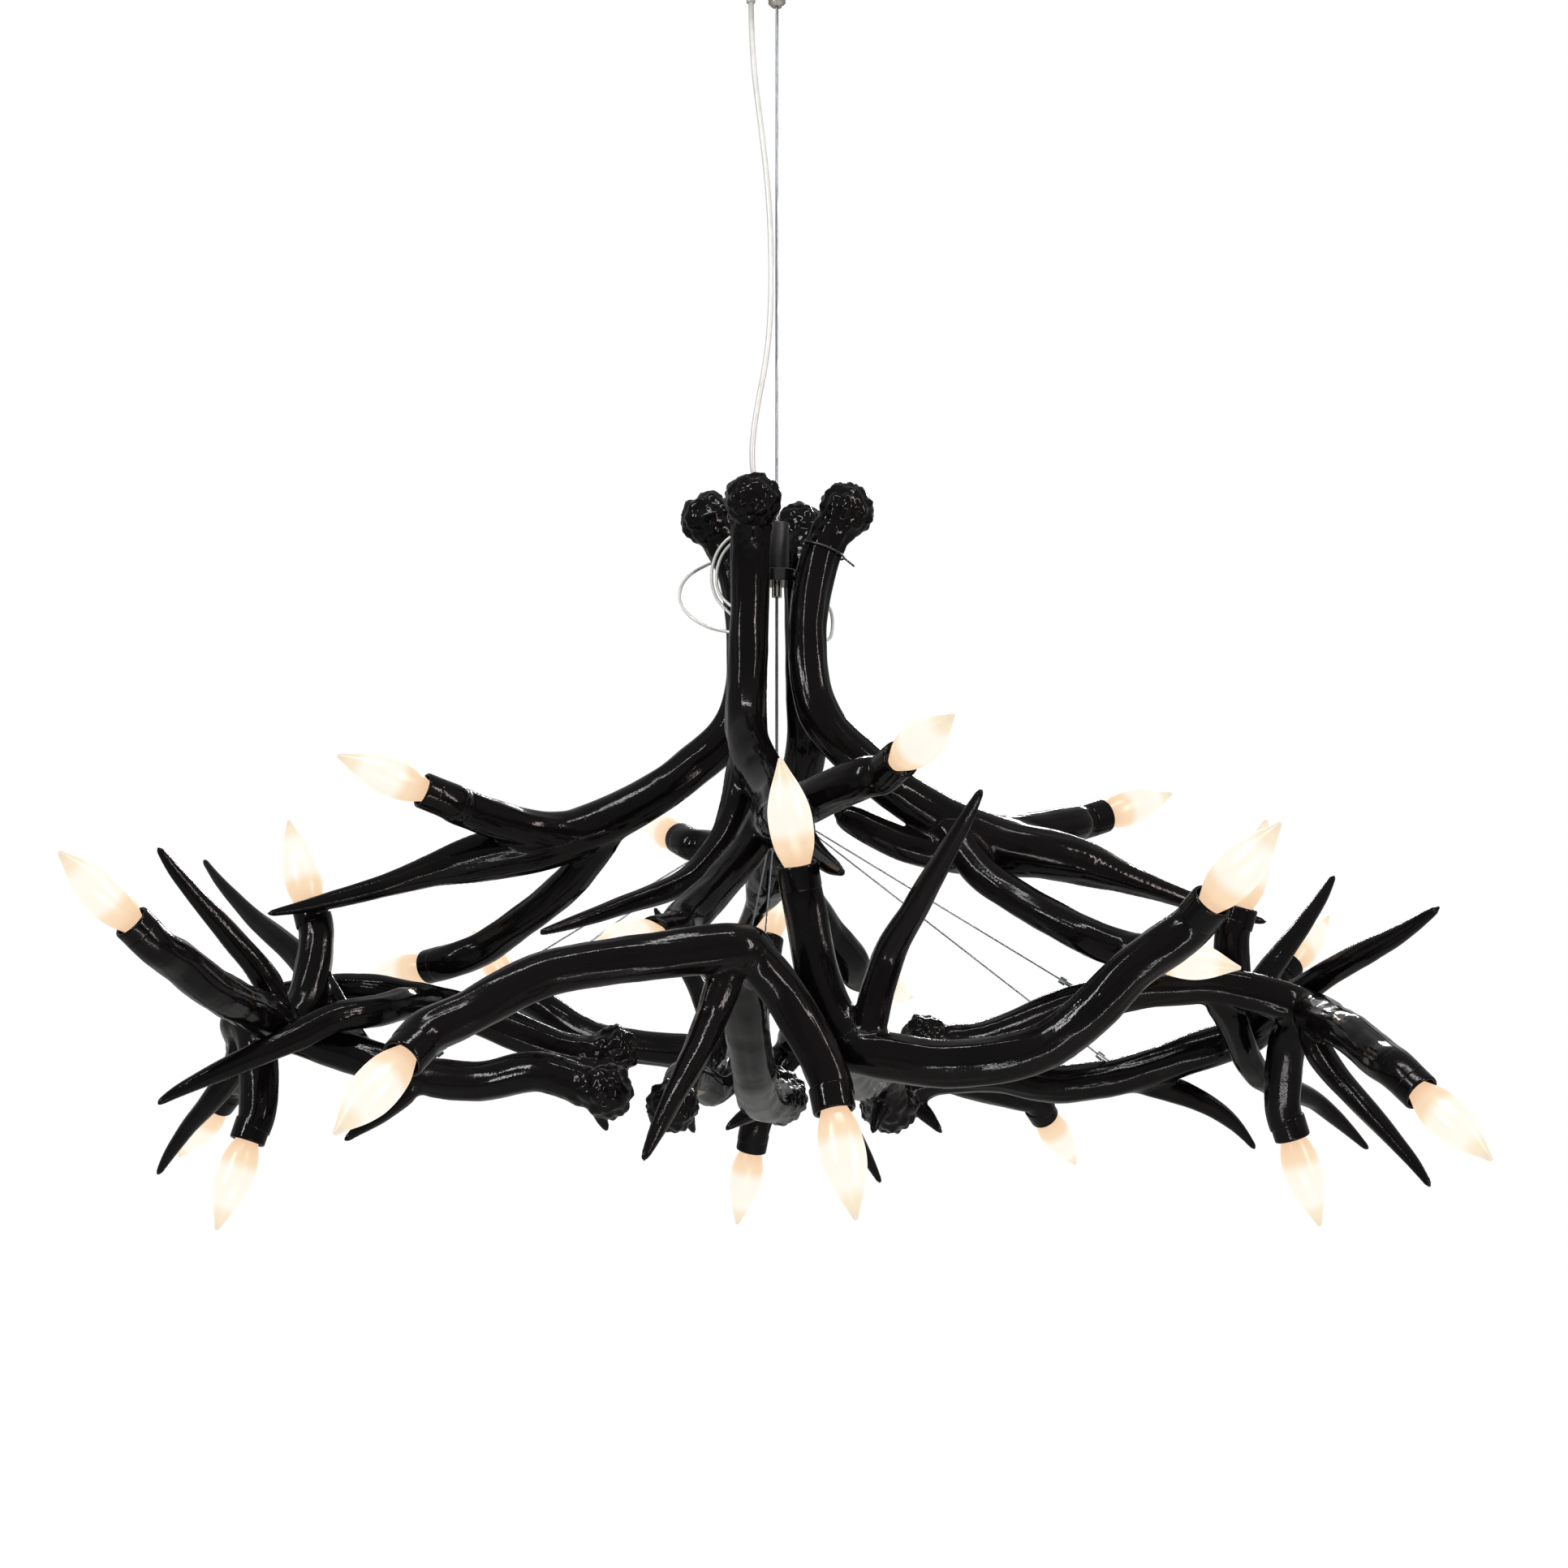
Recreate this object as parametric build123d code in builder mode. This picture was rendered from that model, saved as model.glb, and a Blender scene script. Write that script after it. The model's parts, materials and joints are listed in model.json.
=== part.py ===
"""Antler chandelier: twelve cast antlers in a crown and a ring, 24 candle lamps, hung on one cable.

Origin: on the suspension axis at the ceiling, +Z up, +X to the right and -Y towards the viewer.
All sizes are millimetres.
"""
from build123d import *
from math import cos, hypot, radians, sin
import os

os.makedirs("parts", exist_ok=True)

# ---- heights on the suspension axis -------------------------------------------------------------
CROWN_LEVEL = -770.0      # datum of the four crown antlers
RING_LEVEL = -970.0       # datum of the eight ring antlers
COLLAR_LEVEL = -584.0     # middle of the collar that holds the crown necks
HUB_LEVEL = -800.0        # middle of the hub that the hanger wires leave

# ---- clearances ---------------------------------------------------------------------------------
SEAT_GAP = 0.3            # between a piece and the seat that carries it
WIRE_GAP = 0.2            # round a wire or a lead in its hole

# ---- ceiling fitting ----------------------------------------------------------------------------
CANOPY_RADIUS = 65.0
CANOPY_DEPTH = 25.0
CANOPY_WALL = 1.2
CROSSBAR_LENGTH = 104.0
CROSSBAR_WIDTH = 20.0
CROSSBAR_THICKNESS = 2.5
BOX_SCREW_SPACING = 88.9  # ceiling box holes, centre to centre
BOX_SCREW_HOLE_RADIUS = 2.4
STUD_OFFSET = 32.0        # canopy studs, from the axis
STUD_RADIUS = 2.0
STUD_REACH = 7.0          # how far a stud stands out under the canopy
CAP_NUT_RADIUS = 4.5
CAP_NUT_HEIGHT = 8.0
NIPPLE_RADIUS = 4.8
LOCKNUT_RADIUS = 8.0
LOCKNUT_HEIGHT = 4.0
GRIPPER_RADIUS = 8.0
GRIPPER_HEIGHT = 26.0
CORD_OFFSET = 24.0        # power cord, from the axis
RELIEF_RADIUS = 6.0
RELIEF_TIP_RADIUS = 4.0
RELIEF_LENGTH = 22.0
TERMINAL_LENGTH = 16.0
TERMINAL_WIDTH = 14.0
TERMINAL_HEIGHT = 10.0

# ---- suspension ---------------------------------------------------------------------------------
CABLE_RADIUS = 1.5
COLLAR_RADIUS = 20.0
COLLAR_THICKNESS = 11.0
COLLAR_STUD_RADIUS = 2.5
COLLAR_STUD_LENGTH = 28.0
COLLAR_STUD_SEAT = 9.0    # depth of a stud in the collar
FERRULE_RADIUS = 4.5
FERRULE_HEIGHT = 12.0
HUB_RADIUS = 19.0
HUB_THICKNESS = 16.0
SLEEVE_RADIUS = 11.0      # splice sleeve round the cable, on top of the collar
SLEEVE_HEIGHT = 44.0
HANGER_WIRE_RADIUS = 0.8
HANGER_SEAT = 8.0         # depth of a hanger wire in the hub
EYE_SHANK_RADIUS = 1.8
EYE_SHANK_LENGTH = 13.0
EYE_HEAD_RADIUS = 3.2
EYE_HEAD_LENGTH = 6.0
JOIN_SCREW_RADIUS = 2.0
JOIN_SCREW_DEPTH = 10.0   # in each of the two antlers
TIE_WIRE_RADIUS = 1.0
TIE_TAIL_LENGTH = 12.0

# ---- cords --------------------------------------------------------------------------------------
POWER_CORD_RADIUS = 2.5
LEAD_RADIUS = 1.4
CORD_SEAT = 4.0           # depth of a cord's end in its hole
FULLEST_BEND = 0.45       # share of the shorter run that an arc takes

# ---- lamps --------------------------------------------------------------------------------------
LAMP_BASE_RADIUS = 5.9
LAMP_BASE_LENGTH = 21.0
LAMP_LENGTH = 80.0        # glass that shows beyond the tube's mouth
LAMP_GLASS = [(11.4, 2.0), (15.0, 13.0), (16.5, 28.0), (15.6, 42.0), (11.5, 56.0), (5.8, 69.0)]
LAMP_SHOULDER = (7.2, -8.0)
LAMP_TIP_RADIUS = 1.5
SOCKET_RADIUS = 9.9
SOCKET_FLOOR = 5.5
MOUTH_RADIUS = 12.6
MOUTH_DEPTH = 11.0
TUBE_END_RADIUS = 15.5
TUBE_LEAD = 30.0          # straight length behind a tube's mouth

# ---- antler outlines ----------------------------------------------------------------------------
# One row is one round section: (outwards, across, up, radius), from the antler's own datum.
CROWN_MAIN = [(70, -21, 255, 10), (64, -21, 246, 24), (54, -22, 232, 19), (40, -23, 205, 17.5),
              (31, -24, 168, 17), (28, -25, 125, 17), (31, -26, 83, 17.5), (45, -27, 47, 18.5),
              (73, -22, 20, 19), (108, -10, -8, 19.5), (153, 1, -34, 21), (205, 4, -54, 23),
              (257, 9, -65, 22), (300, 17, -78, 15), (343, 27, -93, 10), (400, 41, -110, 6.5),
              (439, 49, -119, 2.5)]
CROWN_UPPER = [(115, -8, -12, 16.5), (153, 2, -34, 17.5), (195, 14, -44, 18),
               (235, 37, -38, 17), (272, 70, -28, 16)]
CROWN_UPPER_MOUTH = (302, 98, -17)
CROWN_UPPER_AIM = (65, 36, 24)
CROWN_LOWER = [(145, -2, -32, 16.5), (175, -22, -75, 15.5), (200, -38, -98, 15),
               (228, -52, -117, 15), (265, -72, -140, 15.5)]
CROWN_LOWER_MOUTH = (320, -94, -157)
CROWN_LOWER_AIM = (66, -42, -14)
FRONT_SPUR = [(62, -25, 30, 16), (76, -30, -10, 15), (92, -42, -55, 13.5), (118, -75, -96, 11),
              (150, -125, -119, 8), (180, -165, -136, 5.5), (200, -191, -146, 2.5)]
RIGHT_KEEL = [(257, 8, -66, 17), (215, 6, -66, 17), (160, 0, -64, 16), (110, -8, -54, 15),
              (72, -11, -36, 13), (58, -12, -28, 9)]

RING_BURR = [(-13, 8, -4, 10), (-6, 5, -3, 24), (12, 0, 0, 18)]
RISING_BEAM = [(140, 88, -58, 16.5), (203, 80, -55, 17), (253, 66, -64, 17), (312, 56, -56, 17),
               (363, 50, -40, 17.5), (398, 48, -28, 18)]
FALLING_BEAM = [(150, 84, 8, 16.5), (200, 74, -12, 17), (243, 66, -27, 17), (321, 56, -40, 17),
                (375, 52, -34, 17.5)]
STEEP_BEAM = [(150, 22, 80, 17), (250, 34, 58, 17), (340, 45, 20, 17.5), (385, 50, -4, 18)]
RING_FORK = (425, 50, -18, 18)
RING_ARM = [(440, 115, -5, 17.5), (456, 190, 8, 17), (476, 245, 30, 16.5)]
RING_ARM_MOUTH = (503, 288, 57)
RING_ARM_AIM = (47, 40, 50)
RING_POST = [(425, 50, -18, 16.5), (408, 28, 10, 16.5)]
RING_POST_MOUTH = (411, 9, 92)
RING_POST_AIM = (22, -13, 76)
RING_TINE = [(427, 60, -12, 13), (434, 73, 20, 12.5), (458, 89, 52, 10.5), (483, 106, 82, 8),
             (505, 121, 110, 5.5), (518, 131, 130, 2.5)]
RIGHT_HIGH_TINE = [(400, 50, -27, 15), (440, 10, 2, 14), (480, -50, 32, 11.5),
                   (520, -105, 56, 8.5), (540, -138, 71, 5), (549, -150, 78, 2.5)]
LEFT_HIGH_TINE = [(355, 50, -41, 14), (372, 24, -22, 13), (400, -5, 20, 12.5),
                  (430, -35, 52, 11), (475, -80, 86, 8.5), (515, -122, 122, 5),
                  (537, -150, 146, 2.5)]
LEFT_HANGING_TINE = [(255, 64, -30, 14), (262, 35, -28, 14), (275, -10, -27, 14),
                     (289, -40, -20, 13.5), (318, -66, -14, 13), (347, -82, 2, 12),
                     (382, -101, 20, 10.5), (416, -123, 38, 8), (438, -138, 51, 5),
                     (450, -146, 60, 2.5)]
RIGHT_HANGING_TINE = [(345, 54, -36, 14), (360, 33, -12, 13.5), (371, -2, 17, 12.5),
                      (385, -40, 37, 12), (408, -78, 47, 11), (435, -118, 58, 9),
                      (463, -146, 82, 6), (483, -161, 102, 2.5)]
RIGHT_LOW_TINE = [(305, 58, -56, 12.5), (350, 66, -67, 11.5), (388, 76, -82, 9.5),
                  (416, 90, -101, 6), (434, 100, -121, 2.5)]
LEFT_LOW_TINE = [(302, 57, -54, 12), (318, 64, -74, 10), (336, 76, -92, 7.5),
                 (352, 88, -104, 5), (362, 94, -113, 2.5)]
BROW_TINE = [(118, 90, -74, 9), (132, 84, -88, 7.5), (142, 80, -99, 4.5), (148, 77, -107, 2)]
LEFT_BROW_TINE = [(158, 89, -62, 9), (152, 85, -84, 7.5), (147, 80, -97, 4.5),
                  (143, 77, -105, 2)]
STEEP_BROW_TINE = [(86, 6, 80, 9), (92, 26, 90, 7.5), (97, 40, 98, 4.5), (100, 48, 104, 2)]
SEAM_SIDE = (0.31, 0.83, 0.47)        # where the sections begin, clear of every limb's direction
TIP_REACH = 0.9           # how far a rounded tip stands past its last section, in radii
TIP_SHARE = 0.5           # the radius there, as a share of that section's
SAG_START = 250.0         # how far out a sagging beam begins to drop
SAG_SPAN = 175.0


def added(first, second):
    """The sum of two triples."""
    return tuple(a + b for a, b in zip(first, second))


def along(start, way, distance):
    """The point at a distance from start along a way of any length."""
    unit = Vector(*way).normalized()
    return tuple(Vector(*start) + unit * distance)


class Stance:
    """Where one antler stands: its bearing, its level, a small turn and shift, upright or turned over."""

    def __init__(self, bearing, level, turn=0.0, shift=(0, 0, 0), turned_over=False):
        self.bearing, self.level, self.turn = bearing, level, turn
        self.shift, self.turned_over = shift, turned_over

    def aim(self, way):
        """A direction of the antler as it points in the chandelier."""
        x, y, z = way
        c, s = cos(radians(self.turn)), sin(radians(self.turn))
        x, y = x * c - y * s, x * s + y * c
        if self.turned_over:
            y, z = -y, -z
        c, s = cos(radians(self.bearing)), sin(radians(self.bearing))
        return (x * c - y * s, x * s + y * c, z)

    def put(self, point):
        """A point of the antler as it lies in the chandelier."""
        shift = self.aim_shift()
        return added(added(self.aim(point), shift), (0, 0, self.level))

    def aim_shift(self):
        """The shift, which isn't turned with the antler but is turned over with it."""
        plain = Stance(self.bearing, 0.0, turned_over=self.turned_over)
        return plain.aim(self.shift)


class Branch:
    """A lofted limb of an antler, with a lamp at its end if it has a mouth."""

    def __init__(self, stance, rows, mouth=None, aim=None, eased=True):
        self.eased = eased
        self.points = [stance.put(row[:3]) for row in rows]
        self.radii = [row[3] for row in rows]
        self.mouth = stance.put(mouth) if mouth else None
        self.aim = stance.aim(aim) if mouth else None
        if mouth:
            self.points += [along(self.mouth, self.aim, -TUBE_LEAD), self.mouth]
            self.radii += [TUBE_END_RADIUS + SEAT_GAP, TUBE_END_RADIUS]

    def sections(self):
        """The planes and radii of the round sections, square to the limb, tip rounded."""
        rows = self.eased_rows()
        points = [Vector(*row[:3]) for row in rows]
        steps = [(b - a).normalized() for a, b in zip(points, points[1:])]
        ways = [steps[0]] + [(a + b).normalized() for a, b in zip(steps, steps[1:])] + [steps[-1]]
        if self.mouth:
            ways[-2:] = [Vector(*self.aim).normalized()] * 2
        side = Vector(*SEAM_SIDE)
        rings = []
        for point, way, row in zip(points, ways, rows):
            side = (side - way * side.dot(way)).normalized()
            rings.append((Plane(origin=point, x_dir=side, z_dir=way), row[3]))
        if not self.mouth:
            tip, radius = rings[-1]
            rings.append((tip.offset(radius * TIP_REACH), radius * TIP_SHARE))
        return rings

    def eased_rows(self):
        """The given sections with one more between each two, on a smooth curve through them."""
        rows = [tuple(point) + (radius,) for point, radius in zip(self.points, self.radii)]
        eased = [rows[0]]
        for i in range(1, len(rows)):
            if self.eased and 1 < i < len(rows) - 1:
                four = zip(rows[i - 2], rows[i - 1], rows[i], rows[i + 1])
                eased.append(tuple((9 * b + 9 * c - a - d) / 16 for a, b, c, d in four))
            eased.append(rows[i])
        return eased


def crown_antler(stance, extra=None):
    """The limbs of a crown antler: neck and palm, upper tube, lower tube and any extra tine."""
    limbs = [Branch(stance, CROWN_MAIN, eased=False),
             Branch(stance, CROWN_UPPER, CROWN_UPPER_MOUTH, CROWN_UPPER_AIM, False),
             Branch(stance, CROWN_LOWER, CROWN_LOWER_MOUTH, CROWN_LOWER_AIM, False)]
    return limbs + ([Branch(stance, extra, eased=False)] if extra else [])


def ring_antler(stance, burr, beam, extras, sag=0.0, spread=0.0, post=(0, 0, 0), tine=(0, 0, 0),
                arm=(0, 0, 0)):
    """The limbs of a ring antler: beam and arm, post, main tine and any extra tines.

    sag lowers the fork, spread lengthens the arm, and post, tine and arm move those limbs' ends.
    """
    main = [added(burr, row[:3]) + (row[3],) for row in RING_BURR]
    main += [row for row in beam if row[0] > burr[0] + 35]
    main = [(x, y, z - sag * 0.4 * max(0.0, (x - SAG_START) / SAG_SPAN), r) for x, y, z, r in main]
    main.append(added(RING_FORK[:3], (0, 0, -sag * 0.5)) + (RING_FORK[3],))
    drops = [(0, -sag * 0.9), (0, -sag * 0.9), (spread * 0.8, -sag * 0.4)]
    main += [(x, y + wider, z + lower, r) for (x, y, z, r), (wider, lower) in zip(RING_ARM, drops)]
    arm_mouth = added(RING_ARM_MOUTH, (arm[0], arm[1] + spread, arm[2]))
    post_rows = [added(RING_POST[0][:3], (0, 0, -sag * 0.5)) + (RING_POST[0][3],)]
    lean = (post[0] * 0.3, post[1] * 0.3, -sag * 0.2)
    post_rows.append(added(RING_POST[1][:3], lean) + (RING_POST[1][3],))
    shares = [(0, 0), (0.2, 0), (0.4, 0), (0.7, 0.7), (0.9, 0.9), (1, 1)]
    tine_rows = [(x + tine[0] * a, y + tine[1] * a, z + tine[2] * b, r)
                 for (x, y, z, r), (a, b) in zip(RING_TINE, shares)]
    x, y, z, r = tine_rows[0]
    tine_rows[0] = (x, y, z - sag * 0.4, r)
    return [Branch(stance, main, arm_mouth, RING_ARM_AIM),
            Branch(stance, post_rows, added(RING_POST_MOUTH, post), RING_POST_AIM),
            Branch(stance, tine_rows)] + [Branch(stance, rows) for rows in extras]


RING_BURR_SPOT = (100, 92, -80)
FALLING_BURR_SPOT = (100, 92, 13)
LEFT, FRONT, RIGHT, BACK = 180, 270, 0, 90
STANCES = {
    "crown_antler_1": Stance(LEFT, CROWN_LEVEL),
    "crown_antler_2": Stance(FRONT, CROWN_LEVEL),
    "crown_antler_3": Stance(RIGHT, CROWN_LEVEL),
    "crown_antler_4": Stance(BACK, CROWN_LEVEL),
    "rising_antler_1": Stance(LEFT, RING_LEVEL),
    "rising_antler_2": Stance(FRONT, RING_LEVEL, 1.0, (-12, 0, 0)),
    "rising_antler_3": Stance(RIGHT, RING_LEVEL),
    "rising_antler_4": Stance(BACK, RING_LEVEL),
    "falling_antler_1": Stance(LEFT, RING_LEVEL, 2.0, (53, -20, 23), True),
    "falling_antler_2": Stance(FRONT, RING_LEVEL, -3.8, (31, 0, 0), True),
    "falling_antler_3": Stance(RIGHT, RING_LEVEL, 8.8, (45, -65, 20), True),
    "falling_antler_4": Stance(BACK, RING_LEVEL, -4.0, (45, 0, 34), True),
}
AT = STANCES
ANTLERS = {
    "crown_antler_1": crown_antler(AT["crown_antler_1"]),
    "crown_antler_2": crown_antler(AT["crown_antler_2"], FRONT_SPUR),
    "crown_antler_3": crown_antler(AT["crown_antler_3"], RIGHT_KEEL),
    "crown_antler_4": crown_antler(AT["crown_antler_4"]),
    "rising_antler_1": ring_antler(AT["rising_antler_1"], (145, 90, -70), RISING_BEAM,
                                   [LEFT_HIGH_TINE, LEFT_LOW_TINE, LEFT_BROW_TINE]),
    "rising_antler_2": ring_antler(AT["rising_antler_2"], RING_BURR_SPOT, RISING_BEAM,
                                   [BROW_TINE], sag=57, tine=(0, 6, 4), arm=(0, 14, 0)),
    "rising_antler_3": ring_antler(AT["rising_antler_3"], RING_BURR_SPOT, RISING_BEAM,
                                   [RIGHT_HIGH_TINE, RIGHT_LOW_TINE, BROW_TINE]),
    "rising_antler_4": ring_antler(AT["rising_antler_4"], RING_BURR_SPOT, RISING_BEAM,
                                   [BROW_TINE], sag=20),
    "falling_antler_1": ring_antler(AT["falling_antler_1"], FALLING_BURR_SPOT, FALLING_BEAM,
                                    [LEFT_HANGING_TINE], tine=(2, 0, -8)),
    "falling_antler_2": ring_antler(AT["falling_antler_2"], (75, 0, 80), STEEP_BEAM,
                                    [STEEP_BROW_TINE], sag=14, post=(10, -24, 0),
                                    tine=(0, -8, -6)),
    "falling_antler_3": ring_antler(AT["falling_antler_3"], FALLING_BURR_SPOT, FALLING_BEAM,
                                    [RIGHT_HANGING_TINE]),
    "falling_antler_4": ring_antler(AT["falling_antler_4"], FALLING_BURR_SPOT, FALLING_BEAM,
                                    [], spread=35, post=(0, -8, 0), tine=(0, 15, -4)),
}

# ---- where the antlers are held -----------------------------------------------------------------
NECK_AT_COLLAR = (35, -23.5, 186)     # middle of a crown neck at the collar's level
HANGER_ROWS = {           # which section of its beam each ring antler hangs by
    "rising_antler_1": 5, "rising_antler_2": 6, "rising_antler_3": 6, "rising_antler_4": 6,
    "falling_antler_1": 5, "falling_antler_2": 4, "falling_antler_3": 5, "falling_antler_4": 5,
}
# Screws from one antler into its neighbour: (first, second, point in first, point in second).
JOINTS = [
    ("rising_antler_1", "falling_antler_1", (-436, -90, -979), (-421, -98, -1002)),
    ("rising_antler_3", "falling_antler_3", (463, -24, -950), (452, -46, -969)),
]

# ---- cord routes, point by point ----------------------------------------------------------------
POWER_ROUTE = [(-24, 0, -60), (-21, -2, -115), (-14, -4, -170), (-8, -6, -225), (-5, -7, -280),
               (-5, -8, -335), (-9, -8, -385), (-18, -8, -430), (-23, -7, -470),
               (-20, -4, -500), (-6.5, 0, -516)]
LEFT_LOOP = [(-4.6, 6.6, -545), (-17, 24.5, -545), (-30, 40, -549), (-48, 47, -556),
             (-66, 41, -565), (-80, 28, -576), (-87, 13, -590), (-87, -1, -606),
             (-79, -10, -620), (-65, -14, -630), (-51, -16, -635), (-36, -22, -638)]
FRONT_LOOPS = [
    [(-7.2, -3.4, -548), (-22, -10.3, -548), (-38, -14, -553), (-49, -16, -566),
     (-54, -17, -582), (-53, -18, -598), (-46, -20.5, -610), (-35.5, -25, -618)],
    [(-7.9, -1.4, -543), (-24, -4.2, -543), (-41, -8, -547), (-53, -11, -561),
     (-58.5, -12.5, -579), (-57.5, -13, -597), (-50, -15, -612), (-36, -20, -625)],
]
RIGHT_LOOP = [(38, -16, -607), (46, -4, -609), (50, 9, -617), (50, 12, -630), (47, 2, -641),
              (38, -14, -644)]


def turn_radii(route):
    """The arc radius at each inner point of a route, as large as the runs beside it allow."""
    points = [Vector(*point) for point in route]
    radii = []
    for before, point, after in zip(points, points[1:], points[2:]):
        first, second = point - before, after - point
        half_turn = radians(first.get_angle(second) / 2)
        shorter = min(first.length, second.length)
        radii.append(FULLEST_BEND * shorter * cos(half_turn) / sin(half_turn))
    return radii


def cord_path(route, name, radius):
    """The line of a cord, straight runs joined by tangent arcs."""
    radii = turn_radii(route)
    least = min(radii)
    print(f"{name}: arcs {[round(r) for r in radii]} mm, least {least / radius / 2:.1f} diameters")
    return FilletPolyline(*route, radius=radii)


def save(part, name):
    """Label a finished piece and write it."""
    part.label = name
    export_step(part, f"parts/{name}.step")


def facing(point, way):
    """A plane at a point, its normal along a way."""
    return Plane(origin=point, z_dir=way)


# ---- ceiling fitting ----------------------------------------------------------------------------
CANOPY_HOLE = NIPPLE_RADIUS + SEAT_GAP
with BuildPart() as canopy:
    with BuildSketch(Plane.XZ):
        with BuildLine():
            rim = (CANOPY_RADIUS, 0)
            shoulder = (CANOPY_RADIUS, -CANOPY_DEPTH * 0.35)
            foot = (CANOPY_RADIUS * 0.62, -CANOPY_DEPTH)
            Line((CANOPY_HOLE, -CANOPY_DEPTH), foot)
            Bezier(foot, (CANOPY_RADIUS * 0.9, -CANOPY_DEPTH), shoulder)
            Line(shoulder, rim)
            inner_rim = (CANOPY_RADIUS - CANOPY_WALL, 0)
            inner_shoulder = (CANOPY_RADIUS - CANOPY_WALL, -CANOPY_DEPTH * 0.35)
            inner_foot = (CANOPY_RADIUS * 0.61, CANOPY_WALL - CANOPY_DEPTH)
            Line(rim, inner_rim)
            Line(inner_rim, inner_shoulder)
            Bezier(inner_shoulder, (CANOPY_RADIUS * 0.88, CANOPY_WALL - CANOPY_DEPTH), inner_foot)
            Line(inner_foot, (CANOPY_HOLE, CANOPY_WALL - CANOPY_DEPTH))
            Line((CANOPY_HOLE, CANOPY_WALL - CANOPY_DEPTH), (CANOPY_HOLE, -CANOPY_DEPTH))
        make_face()
    revolve(axis=Axis.Z)
    with Locations((-CORD_OFFSET, 0, 0)):
        Hole(CANOPY_HOLE)
    with Locations((0, -STUD_OFFSET, 0), (0, STUD_OFFSET, 0)):
        Hole(STUD_RADIUS + SEAT_GAP)
save(canopy.part, "ceiling_canopy")

with BuildPart() as crossbar:
    with BuildSketch(Plane.XY.offset(-CROSSBAR_THICKNESS)):
        SlotOverall(CROSSBAR_LENGTH, CROSSBAR_WIDTH)
        SlotOverall(2 * STUD_OFFSET + CROSSBAR_WIDTH * 0.8, CROSSBAR_WIDTH * 0.8, rotation=90)
    extrude(amount=CROSSBAR_THICKNESS)
    with Locations((0, 0, 0)):
        Hole(CANOPY_HOLE)
    with Locations((-BOX_SCREW_SPACING / 2, 0, 0), (BOX_SCREW_SPACING / 2, 0, 0)):
        Hole(BOX_SCREW_HOLE_RADIUS)
    with Locations((0, -STUD_OFFSET, 0), (0, STUD_OFFSET, 0)):
        Hole(STUD_RADIUS + WIRE_GAP)
save(crossbar.part, "mounting_crossbar")

STUD_TOP = -0.2
CAP_TOP = -CANOPY_DEPTH - SEAT_GAP
with BuildPart() as studs:
    with BuildSketch(Plane.XY.offset(STUD_TOP)):
        with Locations((0, -STUD_OFFSET), (0, STUD_OFFSET)):
            Circle(STUD_RADIUS)
    extrude(amount=-(STUD_TOP - CAP_TOP + STUD_REACH))
save(studs.part, "canopy_studs")

with BuildPart() as cap_nuts:
    with BuildSketch(Plane.XY.offset(CAP_TOP)):
        with Locations((0, -STUD_OFFSET), (0, STUD_OFFSET)):
            Circle(CAP_NUT_RADIUS)
    extrude(amount=-CAP_NUT_HEIGHT - CAP_NUT_RADIUS * 0.5)
    fillet(cap_nuts.faces().sort_by(Axis.Z)[:2].edges(), CAP_NUT_RADIUS * 0.7)
    with Locations((0, -STUD_OFFSET, CAP_TOP), (0, STUD_OFFSET, CAP_TOP)):
        Hole(STUD_RADIUS + WIRE_GAP, STUD_REACH + SEAT_GAP)
save(cap_nuts.part, "canopy_cap_nuts")

GRIPPER_TOP = -CANOPY_DEPTH - SEAT_GAP
with BuildPart() as gripper:
    with BuildSketch(Plane.XY.offset(-SEAT_GAP)):
        Circle(NIPPLE_RADIUS)
    extrude(amount=GRIPPER_TOP + SEAT_GAP)
    with BuildSketch(Plane.XY.offset(GRIPPER_TOP)):
        Circle(GRIPPER_RADIUS)
    extrude(amount=-GRIPPER_HEIGHT)
    chamfer(gripper.faces().sort_by(Axis.Z)[0].edges(), GRIPPER_RADIUS * 0.4)
    Hole(CABLE_RADIUS + WIRE_GAP)
save(gripper.part, "cable_gripper")

with BuildPart() as locknut:
    with BuildSketch(Plane.XY.offset(-CROSSBAR_THICKNESS - SEAT_GAP)):
        RegularPolygon(LOCKNUT_RADIUS, 6)
        Circle(NIPPLE_RADIUS + WIRE_GAP, mode=Mode.SUBTRACT)
    extrude(amount=-LOCKNUT_HEIGHT)
save(locknut.part, "gripper_locknut")

RELIEF_TOP = -CANOPY_DEPTH - SEAT_GAP
with BuildPart() as relief:
    with BuildSketch(Plane.XY.offset(RELIEF_TOP)):
        with Locations((-CORD_OFFSET, 0)):
            Circle(RELIEF_RADIUS)
    with BuildSketch(Plane.XY.offset(RELIEF_TOP - RELIEF_LENGTH)):
        with Locations((-CORD_OFFSET, 0)):
            Circle(RELIEF_TIP_RADIUS)
    loft()
    with BuildSketch(Plane.XY.offset(RELIEF_TOP)):
        with Locations((-CORD_OFFSET, 0)):
            Circle(NIPPLE_RADIUS)
    extrude(amount=CANOPY_WALL * 3)
    with Locations((-CORD_OFFSET, 0, RELIEF_TOP)):
        Hole(POWER_CORD_RADIUS + WIRE_GAP)
save(relief.part, "cord_strain_relief")

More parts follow.
